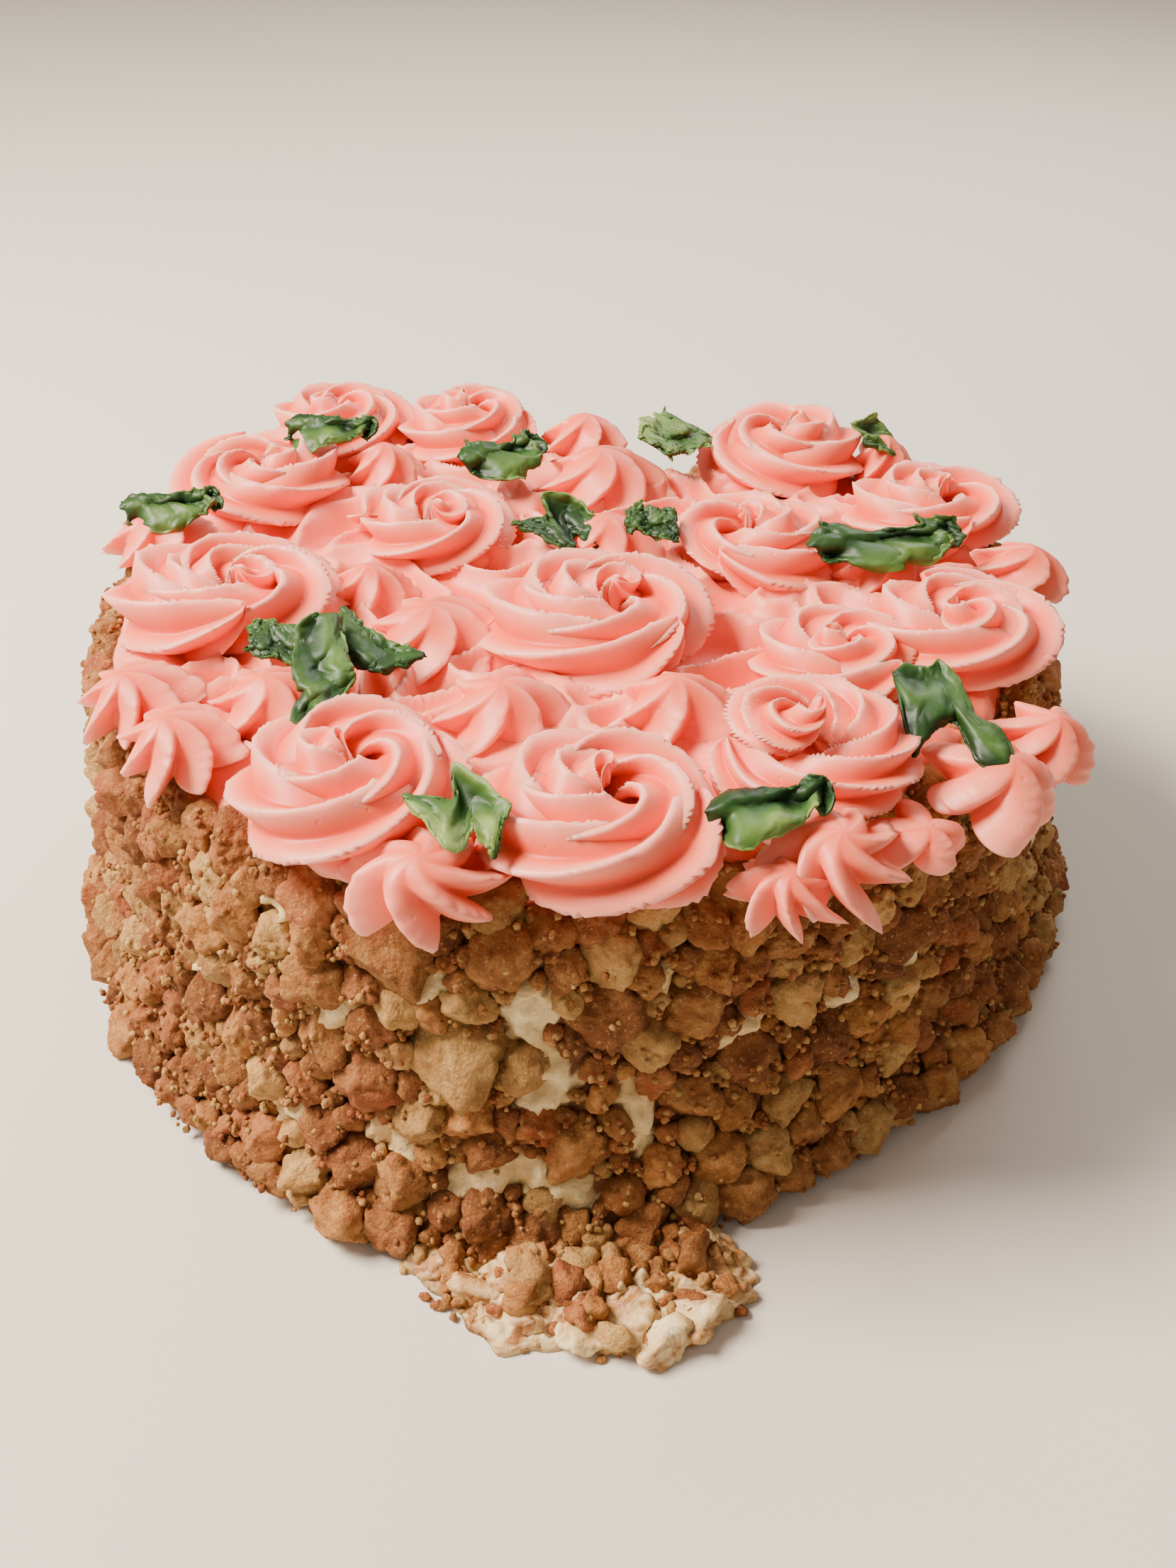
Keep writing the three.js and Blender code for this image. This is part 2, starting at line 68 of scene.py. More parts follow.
# Smears of bare cream: along the outline from the tip, height, half width, half height, tilt.
SMEARS = [
    (0.0245, 0.063, 0.005, 0.0085, -0.2), (0.028, 0.051, 0.0036, 0.008, 0.25),
    (0.0275, 0.041, 0.007, 0.0034, 0.35), (0.0472, 0.033, 0.0034, 0.009, 0.05),
    (0.071, 0.048, 0.0065, 0.003, 0.5), (0.002, 0.069, 0.0058, 0.0032, 0.5),
    (0.014, 0.021, 0.0105, 0.0036, 0.35), (0.028, 0.0195, 0.0095, 0.0034, -0.5),
    (-0.006, 0.0265, 0.008, 0.0032, -0.5), (-0.0205, 0.057, 0.007, 0.004, 0.6),
    (-0.0343, 0.08, 0.006, 0.0038, 0), (0.121, 0.048, 0.008, 0.0052, 0.5),
    (0.0977, 0.045, 0.007, 0.0028, 0.3), (-0.0645, 0.046, 0.004, 0.0026, 0.4),
    (-0.0358, 0.024, 0.005, 0.0028, 0.2), (0.052, 0.068, 0.004, 0.0028, 0.7),
    (0.19, 0.04, 0.007, 0.004, 0.3), (0.27, 0.062, 0.006, 0.0045, -0.4),
    (0.36, 0.03, 0.008, 0.0036, 0.2), (-0.15, 0.05, 0.0065, 0.0036, -0.3),
    (-0.235, 0.026, 0.007, 0.004, 0.4), (-0.33, 0.06, 0.006, 0.0046, 0.1),
]
SMEAR_SEARCH = 0.024         # nothing further along than this is near a smear
SMEAR_RAGS = [(260, 0.002), (700, 0.0014)]     # in a smear's edge: waves a metre, depth
SMEAR_SLOPE = 0.0022         # width of the slope at a smear's edge
SMEAR_SWELL = 0.0036         # how far a smear stands out of the coat
WAVE_DEPTH = 0.0009          # of the broad waves in the cream
STREAK_DEPTH = 0.0011        # of the streaks that the knife left
PITTING_DEPTH = 0.0005

bed_low, bed_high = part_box("icing_bed")
heart_middle = (bed_low + bed_high) / 2
heart_middle.z = 0


def heart_point(turn, size):
    """Point of the heart outline: turn is 0 at the tip and pi at the cleft."""
    across, along = math.sin(turn), math.cos(turn)
    rounding = TIP_ROUNDING + (CLEFT_ROUNDING - TIP_ROUNDING) * (1 - along) / 2
    lift = math.hypot(across, rounding) - rounding
    x = SIDE_REACH * across * (1 + TIP_BLUNTNESS * along)
    y = LOBE_LIFT * lift - FRONT_REACH * along - OUTLINE_SHIFT
    return heart_middle + Vector((x, y, 0)) * size


turns = np.linspace(0, 2 * math.pi, OUTLINE_STEPS + 1)
steps = [(heart_point(b, 1) - heart_point(a, 1)).length for a, b in zip(turns, turns[1:])]
lengths = np.concatenate([[0], np.cumsum(steps)])
OUTLINE_LENGTH = lengths[-1]
wall_heights, wall_sizes = zip(*WALL)
rises = [math.hypot(b[0] - a[0], SPREAD * (b[1] - a[1])) for a, b in zip(WALL, WALL[1:])]
climbs = np.concatenate([[0], np.cumsum(rises)])
WALL_CLIMB = climbs[-1]


def wall_point(along, climb):
    """Point on the crumbs' mean face: metres round from the tip, metres up from the foot."""
    turn = np.interp(along % OUTLINE_LENGTH, lengths, turns)
    point = heart_point(turn, np.interp(climb, climbs, wall_sizes))
    point.z = np.interp(climb, climbs, wall_heights)
    return point


def wall_axes(along, climb):
    """Directions round the wall, up it and out of it."""
    aside, above = SLOPE_REACH
    round_ = (wall_point(along + aside, climb) - wall_point(along - aside, climb)).normalized()
    up = (wall_point(along, climb + above) - wall_point(along, climb - above)).normalized()
    return round_, up, round_.cross(up).normalized()


def bareness(along, height):
    """Metres inside the ragged edge of a smear of bare cream, below 0 outside it."""
    along = (along + OUTLINE_LENGTH / 2) % OUTLINE_LENGTH - OUTLINE_LENGTH / 2
    best = -1
    for middle, level, half_width, half_height, tilt in SMEARS:
        if abs(along - middle) < SMEAR_SEARCH:
            dx = along - middle
            dz = height - level
            across = dx * math.cos(tilt) + dz * math.sin(tilt)
            upward = dz * math.cos(tilt) - dx * math.sin(tilt)
            inside = 1 - math.hypot(across / half_width, upward / half_height)
            best = max(best, inside * min(half_width, half_height))
    for waves, depth in SMEAR_RAGS:
        best += depth * noise.noise(Vector((along, height, 0)) * waves)
    return best


def bent_grid(columns, rows, place, marks=()):
    """A grid bent by place(u, v), each from 0 to 1, which gives a point and then a value for each mark.
    Its seams and poles are merged."""
    made = bmesh.new()
    bmesh.ops.create_grid(made, x_segments=columns, y_segments=rows, size=1)
    layers = [made.verts.layers.float.new(mark) for mark in marks]
    for vert in made.verts:
        point, *values = place((vert.co.x + 1) / 2, (vert.co.y + 1) / 2)
        vert.co = point
        for layer, value in zip(layers, values):
            vert[layer] = value
    bmesh.ops.remove_doubles(made, verts=made.verts, dist=1e-6)
    return made


def close_ends(made):
    """Fills the openings that a bent grid still has."""
    bmesh.ops.holes_fill(made, edges=[edge for edge in made.edges if edge.is_boundary])


def in_scene(name, data):
    """Puts a mesh, a light or a camera into the scene."""
    made = bpy.data.objects.new(name, data)
    bpy.context.scene.collection.objects.link(made)
    return made


def coated(name, mesh, material, smooth=True):
    """Gives a mesh its one material, and puts it into the scene."""
    mesh.polygons.foreach_set("use_smooth", [smooth] * len(mesh.polygons))
    mesh.materials.append(material)
    return in_scene(name, mesh)


def finished(name, made, material, smooth=True):
    """Turns a bmesh into an object of one material, with its faces outwards."""
    bmesh.ops.recalc_face_normals(made, faces=made.faces)
    mesh = bpy.data.meshes.new(name)
    made.to_mesh(mesh)
    made.free()
    return coated(name, mesh, material, smooth)


def tone(code):
    """Linear colour of a six-digit screen colour."""
    shares = [int(code[i:i + 2], 16) / 255 for i in (0, 2, 4)]
    linear = [s / 12.92 if s <= 0.04045 else ((s + 0.055) / 1.055) ** 2.4 for s in shares]
    return (*linear, 1)


class Finish:
    """A material under construction: short calls that add and link its nodes."""

    def __init__(self, name, roughness, specular):
        self.material = bpy.data.materials.new(name)
        self.material.use_nodes = True
        self.tree = self.material.node_tree
        self.shader = self.tree.nodes["Principled BSDF"]
        self.shader.inputs["Roughness"].default_value = roughness
        self.shader.inputs["Specular IOR Level"].default_value = specular
        self.place = self.tree.nodes.new("ShaderNodeTexCoord").outputs["Object"]

    def add(self, kind, sockets, **settings):
        """A node, with its sockets set to a value or fed from another node."""
        node = self.tree.nodes.new(kind)
        for key, value in settings.items():
            setattr(node, key, value)
        for key, value in sockets.items():
            if isinstance(value, bpy.types.NodeSocket):
                self.tree.links.new(value, node.inputs[key])
            else:
                node.inputs[key].default_value = value
        return node

    def drive(self, socket, source):
        self.tree.links.new(source, self.shader.inputs[socket])

    def grain(self, scale, detail, roughness=0.5, distortion=0):
        sockets = {"Vector": self.place, "Scale": scale, "Detail": detail}
        sockets.update({"Roughness": roughness, "Distortion": distortion})
        return self.add("ShaderNodeTexNoise", sockets).outputs["Fac"]

    def cells(self, scale):
        """Distance to the nearest of many scattered points."""
        sockets = {"Vector": self.place, "Scale": scale}
        return self.add("ShaderNodeTexVoronoi", sockets, feature="F1").outputs["Distance"]

    def mark(self, name):
        return self.add("ShaderNodeAttribute", {}, attribute_name=name).outputs["Fac"]

    def ramp(self, source, *stops):
        """Colours for a value from 0 to 1, by stops of (value, screen colour)."""
        node = self.add("ShaderNodeValToRGB", {"Fac": source})
        while len(node.color_ramp.elements) < len(stops):
            node.color_ramp.elements.new(0.5)
        for element, (position, code) in zip(node.color_ramp.elements, stops):
            element.position = position
            element.color = tone(code)
        return node.outputs["Color"]

    def mix(self, share, first, second, blend="MIX"):
        sockets = {0: share, 6: first, 7: second}      # by number, as their names come several times
        return self.add("ShaderNodeMix", sockets, data_type="RGBA", blend_type=blend).outputs[2]

    def scaled(self, source, low, high, from_low=0, from_high=1):
        sockets = {"Value": source, "To Min": low, "To Max": high}
        sockets.update({"From Min": from_low, "From Max": from_high})
        return self.add("ShaderNodeMapRange", sockets).outputs["Result"]

    def bump(self, *layers):
        """Bump layers as (height, strength, distance), one on top of another."""
        below = {}
        for height, strength, distance in layers:
            sockets = {"Height": height, "Strength": strength, "Distance": distance, **below}
            below = {"Normal": self.add("ShaderNodeBump", sockets).outputs["Normal"]}
        self.drive("Normal", below["Normal"])

    def glow(self, weight, radius, scale):
        """Light that soaks in and spreads under the surface."""
        for part, value in (("Weight", weight), ("Radius", radius), ("Scale", scale)):
            self.shader.inputs[f"Subsurface {part}"].default_value = value


def cream_coat_material():
    finish = Finish("cream_coat", 0.55, 0.35)
    cream = finish.ramp(finish.grain(90, 5), (0.3, "d8b070"), (0.6, "f0d49a"), (0.8, "fae6b8"))
    # Outside the smears the coat is brown: partly the fine crumbs in the gaps, partly painted shade
    # between the crumbs.
    gap_crumbs_and_shade = finish.ramp(finish.grain(260, 6), (0.3, "6b3f1f"), (0.7, "a3683a"))
    edge = finish.scaled(finish.mark("bare"), 0, 1, -0.0012, -0.0002)
    finish.drive("Base Color", finish.mix(edge, gap_crumbs_and_shade, cream))
    lumps = finish.grain(150, 4, distortion=2.5)
    finish.bump((finish.grain(420, 7, 0.6), 0.8, 0.0009), (lumps, 0.6, 0.0016))
    finish.glow(0.12, (1, 0.7, 0.4), 0.003)
    return finish.material


def coat_place(u, v):
    along = u * OUTLINE_LENGTH
    climb = v * WALL_CLIMB
    point = wall_point(along, climb)
    bare = bareness(along, point.z)
    swell = SMEAR_SWELL * min(1, max(0, bare / SMEAR_SLOPE + 0.5))
    swell *= 0.75 + 0.9 * noise.noise(point * 230)
    streak = 1 - abs(noise.noise(Vector((point.x * 1.6, point.y * 1.6, point.z * 0.7)) * 380))
    ripple = WAVE_DEPTH * noise.noise(point * 130) + STREAK_DEPTH * (streak - 0.75)
    ripple += PITTING_DEPTH * noise.noise(point * 900)
    return point + wall_axes(along, climb)[2] * (swell + ripple - COAT_SINK), bare


coat = bent_grid(COAT_COLUMNS, COAT_ROWS, coat_place, ["bare"])
close_ends(coat)
cake_coat = finished("cake_coat", coat, cream_coat_material())
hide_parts("cake")
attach(cake_coat, "root")


# ---- Crumbs ----
# Broken golden biscuit, pressed by hand into the cream all round: large flat lumps fitted close like
# paving, smaller ones in their gaps, and fine granules stuck to everything.

CRUMB_SEED = 7
CRUMB_SIZES = [(0.0044, 0.0068, 4200), (0.0027, 0.0038, 9000), (0.0014, 0.0022, 20000)]   # radii, throws
BIGGEST = [                  # along, height, radius
    (0.0085, 0.053, 0.0096), (-0.0055, 0.0765, 0.0088), (0.041, 0.062, 0.008),
    (0.018, 0.0775, 0.0066), (-0.013, 0.042, 0.0078), (0.034, 0.027, 0.0076),
]
CRUMB_GRADES = {"large": (0.0045, 4), "middling": (0.0025, 3), "small": (0, 2)}   # over, fineness
CRUMB_SHARES = {"golden": 0.33, "pale": 0.22, "stained": 0.16, "toasted": 0.29}
THROW_CELL = 0.01            # of the grid that a thrown crumb looks for its neighbours in
THROW_ROOM = 0.86            # how near two crumbs may lie, as a share of their radii together
SMEAR_MARGIN = 0.5           # how far a crumb keeps off a smear, as a share of its radius
CRUMB_NEAR = 7               # neighbours that a lump is fitted to
CRUMB_FLATNESS = (0.5, 0.8)  # thickness, as a share of the radius
CRUMB_SINK = (0.2, 0.6)      # of its middle into the cream, as a share of the thickness
CRUMB_CRACK = 0.0002         # half the gap that neighbours leave
FUSED_DEPTH = 0.0008         # how far neighbours that are one lump run into each other
FUSED_SHARE = 0.35           # of all neighbours
CRUMB_REACH = (0.45, 1.25)   # to a neighbour, least and most, as a share of the radius
FACE_BREAKS = 5              # flat breaks across the face of a lump
BREAK_SHARPNESS = 26         # of the edges between two breaks
BREAK_GRIT = 0.018           # fine roughness of the breaks, as a share of the radius
KNOBS = {1: 0, 2: 9, 3: 34, 4: 95}          # round grains that stand out of a stone, by its fineness
KNOB_WIDTH = {1: 0, 2: 0.6, 3: 0.34, 4: 0.21}   # radians
KNOB_HEIGHT = 0.6            # of their width
DEEPER_UNDER = 0.0042        # lumps smaller than this lie deeper in the cream
FLOOR_GAP = 0.0002           # under the lowest crumbs
GRANULES = 7000
GRANULE_SIZES = (0.0004, 0.001)
GRANULE_FOOT = 0.002         # none lies lower on the wall
GRANULE_LIFT = 0.0024        # on the crown of a crumb
GRANULE_SHARES = {"golden": 0.4, "pale": 0.4, "stained": 0.2}

crumb_draw = random.Random(CRUMB_SEED)
crumb_numbers = np.random.default_rng(CRUMB_SEED)


def stone_blank(level):
    """Directions and faces of a round stone, before it is broken to shape."""
    made = bmesh.new()
    bmesh.ops.create_icosphere(made, subdivisions=level, radius=1)
    made.verts.index_update()
    directions = np.array([vert.co for vert in made.verts])
    faces = np.array([[vert.index for vert in face.verts] for face in made.faces])
    made.free()
    return directions, faces


def random_directions(count):
    """Unit vectors, spread evenly all round."""
    directions = crumb_numbers.normal(size=(count, 3))
    return directions / np.linalg.norm(directions, axis=1)[:, None]


def broken(directions, radius, normals, depths, level):
    """Stone cut by flat breaks, blunted where they meet, with round grains baked into its faces."""
    facing = np.maximum(directions @ np.array(normals).T, 0.06)
    reach = np.hstack([np.array(depths) / facing, np.full((len(directions), 1), radius * 1.22)])
    cut = (reach ** -BREAK_SHARPNESS).sum(axis=1) ** (-1 / BREAK_SHARPNESS)
    if KNOBS[level]:
        middles = random_directions(KNOBS[level])
        widths = KNOB_WIDTH[level] * crumb_numbers.uniform(0.5, 1.5, KNOBS[level])
        apart = np.sqrt(np.maximum(0, 2 - 2 * directions @ middles.T)) / widths
        domes = np.sqrt(np.maximum(0, 1 - apart ** 2)) * widths * KNOB_HEIGHT
        cut = cut * (0.93 + domes.max(axis=1))
    cut = cut * (1 + crumb_numbers.normal(0, BREAK_GRIT, len(directions)))
    return directions * cut[:, None]


def loose_stone(size, breaks, least, level):
    """A stone about the origin, broken all round. The least break is that share of its size away."""
    normals = random_directions(breaks)
    depths = size * crumb_numbers.uniform(least, 1, breaks)
    return broken(blanks[level][0], size, normals, depths, level)


def off_floor(stone):
    """Flattens a stone where it would reach the floor."""
    stone[:, 2] = np.maximum(stone[:, 2], FLOOR_GAP)
    return stone


def extra_depth(radius):
    """How much deeper in the cream a small crumb lies than a large one."""
    return max(0, DEEPER_UNDER - radius) * 0.7


def crumb_piece(name, stones, faces, material):
    """Joins finished stones, each (points, shade), into one object."""
    count = len(stones[0][0])
    points = np.vstack([points for points, shade in stones])
    corners = np.vstack([faces + count * i for i in range(len(stones))])
    shades = np.repeat([shade for points, shade in stones], count)
    mesh = bpy.data.meshes.new(name)
    mesh.from_pydata(points.tolist(), [], corners.tolist())
    mesh.attributes.new("shade", "FLOAT", "POINT").data.foreach_set("value", shades.astype(np.float32))
    piece = coated(name, mesh, material)
    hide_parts("cake")
    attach(piece, "root")


def crumb_material(name, dark, middle, light, stain, stain_share):
    """Biscuit: mottled, with pale grains of flour and sugar, and stains of pink where berry got in."""
    finish = Finish(name, 0.78, 0.25)
    biscuit = finish.ramp(finish.grain(210, 6, 0.65), (0.3, dark), (0.5, middle), (0.7, light))
    shaded = finish.ramp(finish.mark("shade"), (0, "a89a8c"), (0.5, "dcd5cc"), (1, "fffdf6"))
    biscuit = finish.mix(0.85, biscuit, shaded, "MULTIPLY")
    stain_edge = 0.62 - stain_share, 0.74 - stain_share / 2
    patches = finish.scaled(finish.grain(75, 3, 0.55, 0.6), 0, 0.8, *stain_edge)
    biscuit = finish.mix(patches, biscuit, tone(stain))
    pale_grains = finish.scaled(finish.grain(1300, 2), 0, 0.3, 0.62, 0.72)
    finish.drive("Base Color", finish.mix(pale_grains, biscuit, tone("f2d59c")))
    round_grains = finish.scaled(finish.cells(1100), 1, 0, 0, 0.7)
    finish.bump((round_grains, 0.55, 0.0005), (finish.grain(520, 6, 0.7), 0.9, 0.0014))
    finish.glow(0.06, (1, 0.5, 0.25), 0.002)
    return finish.material


crumb_kinds = {
    "golden": crumb_material("golden_crumb", "8d5125", "b77a41", "d6a261", "a55a31", 0.05),
    "pale": crumb_material("pale_crumb", "aa7a43", "cc9c5c", "e3be7e", "b87646", 0.03),
    "stained": crumb_material("stained_crumb", "8b4826", "ad693b", "c58753", "9f4f2c", 0.11),
    "toasted": crumb_material("toasted_crumb", "743e1f", "985d2f", "b57c48", "8a4a28", 0.04),
}


def throw_crumbs():
    """Places crumbs by throwing them at the wall, largest first, where there is still room."""
    cells = {}
    placed = []

    def roomy(along, climb, radius):
        column, row = int(along // THROW_CELL), int(climb // THROW_CELL)
        columns = math.ceil(OUTLINE_LENGTH / THROW_CELL)
        for i in range(column - 2, column + 3):
            for j in range(row - 2, row + 3):
                for other in cells.get((i % columns, j), ()):
                    away = abs(along - other[0])
                    away = min(away, OUTLINE_LENGTH - away)
                    if math.hypot(away, climb - other[1]) < THROW_ROOM * (radius + other[2]):
                        return False
        return True

    def put(along, climb, radius):
        along = along % OUTLINE_LENGTH
        placed.append((along, climb, radius))
        cell = int(along // THROW_CELL), int(climb // THROW_CELL)
        cells.setdefault(cell, []).append(placed[-1])

    for along, height, radius in BIGGEST:
        put(along, np.interp(height, wall_heights, climbs), radius)
    for low, high, throws in CRUMB_SIZES:
        for _ in range(throws):
            along = crumb_draw.uniform(0, OUTLINE_LENGTH)
            radius = crumb_draw.uniform(low, high)
            climb = crumb_draw.uniform(radius * 0.7, WALL_CLIMB - radius * 0.2)
            height = np.interp(climb, climbs, wall_heights)
            if bareness(along, height) < -SMEAR_MARGIN * radius and roomy(along, climb, radius):
                put(along, climb, radius)
    return placed


def fit_crumb(index, placed, near, level):
    """Breaks one stone to fit between its neighbours on the wall, and sets it in place."""
    along, climb, radius = placed[index]
    thickness = radius * crumb_draw.uniform(*CRUMB_FLATNESS)
    normals, depths = [], []
    for _, other, distance in near.find_n((along, climb, 0), CRUMB_NEAR + 1):
        if other == index or distance > radius * 3:
            continue
        away = placed[other][0] - along
        away -= OUTLINE_LENGTH * round(away / OUTLINE_LENGTH)
        side = Vector((away, placed[other][1] - climb, 0))
        gap = side.length
        share = (gap + (radius ** 2 - placed[other][2] ** 2) / gap) / 2
        normals.append([*(side / gap)[:2], crumb_draw.uniform(0.05, 0.35)])
        crack = -FUSED_DEPTH if crumb_draw.random() < FUSED_SHARE else CRUMB_CRACK
        depths.append(min(max(share - crack, radius * CRUMB_REACH[0]), radius * CRUMB_REACH[1]))
    for _ in range(FACE_BREAKS):
        lean = Vector((crumb_draw.uniform(-1, 1), crumb_draw.uniform(-1, 1), 1)).normalized()
        normals.append(list(lean))
        depths.append(thickness * crumb_draw.uniform(0.72, 1.3))
    normals.append([0, 0, -1])
    depths.append(radius * 0.6)
    stone = broken(blanks[level][0], radius, normals, depths, level)
    axes = np.array(wall_axes(along, climb))
    sink = crumb_draw.uniform(*CRUMB_SINK) * thickness + extra_depth(radius)
    centre = np.array(wall_point(along, climb)) - axes[2] * sink
    return off_floor(centre + stone @ axes)


def drawn_kind(draw, shares):
    """A kind of crumb, drawn by the share that each has."""
    return draw.choices(list(shares), shares.values())[0]


crumbs = throw_crumbs()
near = kdtree.KDTree(len(crumbs) * 3)
for wrap in (0, -1, 1):
    for i, (along, climb, radius) in enumerate(crumbs):
        near.insert((along + wrap * OUTLINE_LENGTH, climb, 0), i)
near.balance()

blanks = {level: stone_blank(level) for level in (1, 2, 3, 4)}
heaps = {}
for i, (along, climb, radius) in enumerate(crumbs):
    grade = next(name for name, (least, level) in CRUMB_GRADES.items() if radius > least)
    kind = drawn_kind(crumb_draw, CRUMB_SHARES)
    stone = fit_crumb(i, crumbs, near, CRUMB_GRADES[grade][1])
    heaps.setdefault((grade, kind), []).append((stone, crumb_draw.uniform(0.25, 1)))
for (grade, kind), stones in sorted(heaps.items()):
    faces = blanks[CRUMB_GRADES[grade][1]][1]
    crumb_piece(f"crumbs_{grade}_{kind}", stones, faces, crumb_kinds[kind])

granules = {kind: [] for kind in GRANULE_SHARES}
for _ in range(GRANULES):
    along, climb, radius = crumb_draw.choice(crumbs)
    angle = crumb_draw.uniform(0, 2 * math.pi)
    away = radius * crumb_draw.uniform(0, 1.05)
    along += away * math.cos(angle)
    climb += away * math.sin(angle)
    if not GRANULE_FOOT < climb < WALL_CLIMB:
        continue
    stone = loose_stone(crumb_draw.uniform(*GRANULE_SIZES), breaks=6, least=0.7, level=1)
    round_, up, out = wall_axes(along, climb)
    lift = GRANULE_LIFT * (1 - (away / radius) ** 2) - extra_depth(radius)
    lift -= crumb_draw.uniform(0, GRANULE_LIFT / 2)
    kind = drawn_kind(crumb_draw, GRANULE_SHARES)
    stone = stone + np.array(wall_point(along, climb) + out * lift)
    granules[kind].append((stone, crumb_draw.uniform(0.3, 1)))
for kind, stones in granules.items():
    crumb_piece(f"granules_{kind}", stones, blanks[1][1], crumb_kinds[kind])


# ---- Spill at the foot ----
# Cream and crumbs that have slid off the front and lie at its foot, a low smeared heap with loose
# crumbs on it and round it.

SPILL_MIDDLE = Vector((0.033, -0.119, 0))      # from the heart's middle
SPILL_HALF = Vector((0.0385, 0.0235, 0.0085))
SPILL_GAP = 0.0003           # under the smeared cream
SPILL_SKIN = 0.0004          # least thickness of it in the middle
SPILL_CLODS = [               # place in shares of the half sizes, radius
    (0.75, -0.45, 0.0068), (0.62, -0.75, 0.0056), (0.9, -0.1, 0.0046), (0.2, -0.85, 0.005),
    (-0.1, -0.8, 0.0046), (-0.45, -0.6, 0.0054), (-0.75, -0.35, 0.0044), (0.42, -0.6, 0.006),
    (-0.25, -0.4, 0.0058), (0.1, -0.5, 0.0052), (0.85, 0.25, 0.0042), (-0.6, -0.1, 0.005),
]
CLOD_STRETCH = [1.15, 1, 0.8]
SPILT = {"crumbs": (70, 0.0018, 0.0042, 3), "granules": (420, 0.0005, 0.0015, 2)}  # count, radii, fineness
SPILT_SHARES = {"golden": 0.45, "pale": 0.35, "stained": 0.2}
SPILL_RIM = 1.06             # crumbs lie no further out, in shares of the heap's half sizes
SPILL_COLUMNS = 200
SPILL_RINGS = 56
SPILL_SEED = 31

spill_draw = random.Random(SPILL_SEED)
spill_middle = heart_middle + SPILL_MIDDLE


def heap_point(x, y, height):
    """Point of the heap, x and y in shares of its half sizes."""
    return spill_middle + Vector((x * SPILL_HALF.x, y * SPILL_HALF.y, height))


def spill_height(x, y):
    """Height of the smeared cream over such a point."""
    point = Vector((x * 2.1, y * 1.6, 4))
    rise = max(0, 1 - math.hypot(x, y) ** 2) ** 0.3
    folds = 0.7 * noise.noise(point * 1.6) + 0.6 * abs(noise.noise(point * 4))
    folds += 0.35 * noise.noise(point * 9)
    return SPILL_HALF.z * rise * max(0.12, 0.45 + folds)


def spill_place(u, v):
    angle = 2 * math.pi * u
    edge = 1 + 0.2 * noise.noise(Vector((math.cos(angle), math.sin(angle), 0)) * 2.2)
    edge += 0.12 * noise.noise(Vector((math.cos(angle), math.sin(angle), 3)) * 7)
    x, y = v * math.cos(angle), v * math.sin(angle)
    height = SPILL_GAP + max(SPILL_SKIN * (1 - v), spill_height(x, y))
    return [heap_point(x * edge, y * edge, height)]


def spill_material():
    finish = Finish("spilt_cream", 0.5, 0.4)
    cream = finish.ramp(finish.grain(150, 5), (0.3, "b98f55"), (0.55, "dcc08c"), (0.8, "eedcb4"))
    crumbed = finish.ramp(finish.grain(520, 6), (0.4, "875024"), (0.6, "b98146"))
    share = finish.scaled(finish.grain(110, 5, 0.65, 1), 0, 1, 0.46, 0.6)
    finish.drive("Base Color", finish.mix(share, cream, crumbed))
    finish.bump((finish.grain(600, 6), 0.6, 0.0008), (finish.grain(150, 4, distortion=1.2), 0.5, 0.0015))
    finish.glow(0.15, (1, 0.7, 0.4), 0.003)
    return finish.material


spill = bent_grid(SPILL_COLUMNS, SPILL_RINGS, spill_place)
close_ends(spill)
spill_finish = spill_material()
spilt_cream = finished("spilt_cream", spill, spill_finish)
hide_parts("cake")
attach(spilt_cream, "root")

clods = []
for x, y, size in SPILL_CLODS:
    clod = loose_stone(size, breaks=12, least=0.55, level=4) * CLOD_STRETCH
    clods.append((off_floor(clod + np.array(heap_point(x, y, size * 0.5))), 1))
crumb_piece("spilt_clods", clods, blanks[4][1], spill_finish)

for grade, (count, low, high, level) in SPILT.items():
    heap = {kind: [] for kind in SPILT_SHARES}
    while sum(len(stones) for stones in heap.values()) < count:
        x, y = spill_draw.gauss(0, 0.5), spill_draw.gauss(-0.1, 0.5)
        if math.hypot(x, y) > SPILL_RIM:
            continue
        size = spill_draw.uniform(low, high)
        stone = loose_stone(size, breaks=9, least=0.6, level=level)
        height = max(size * 0.72, spill_height(x, y) + size * 0.25)
        stone = off_floor(stone + np.array(heap_point(x, y, height)))
        kind = drawn_kind(spill_draw, SPILT_SHARES)
        heap[kind].append((stone, spill_draw.uniform(0.3, 1)))
    for kind, stones in heap.items():
        crumb_piece(f"spilt_{grade}_{kind}", stones, blanks[level][1], crumb_kinds[kind])


# ---- Pink cream bed ----
# Strawberry buttercream spread over the top. It shows as soft swirled ridges in the gaps between
# the piped pieces.

BED_EDGE = 0.9               # share of the heart outline that it covers
BED_SCALLOPS = 23            # waves in its edge, all round
BED_FOOT = bed_low.z - 0.0003
BED_THICKNESS = 0.0035
FOLD_HEIGHT = 0.0085
FOLD_WANDER = 0.012          # how far the folds stray sideways
BED_COLUMNS = 420
BED_RINGS = 150
BED_SKIRT = 0.98             # share of the rings above the underside


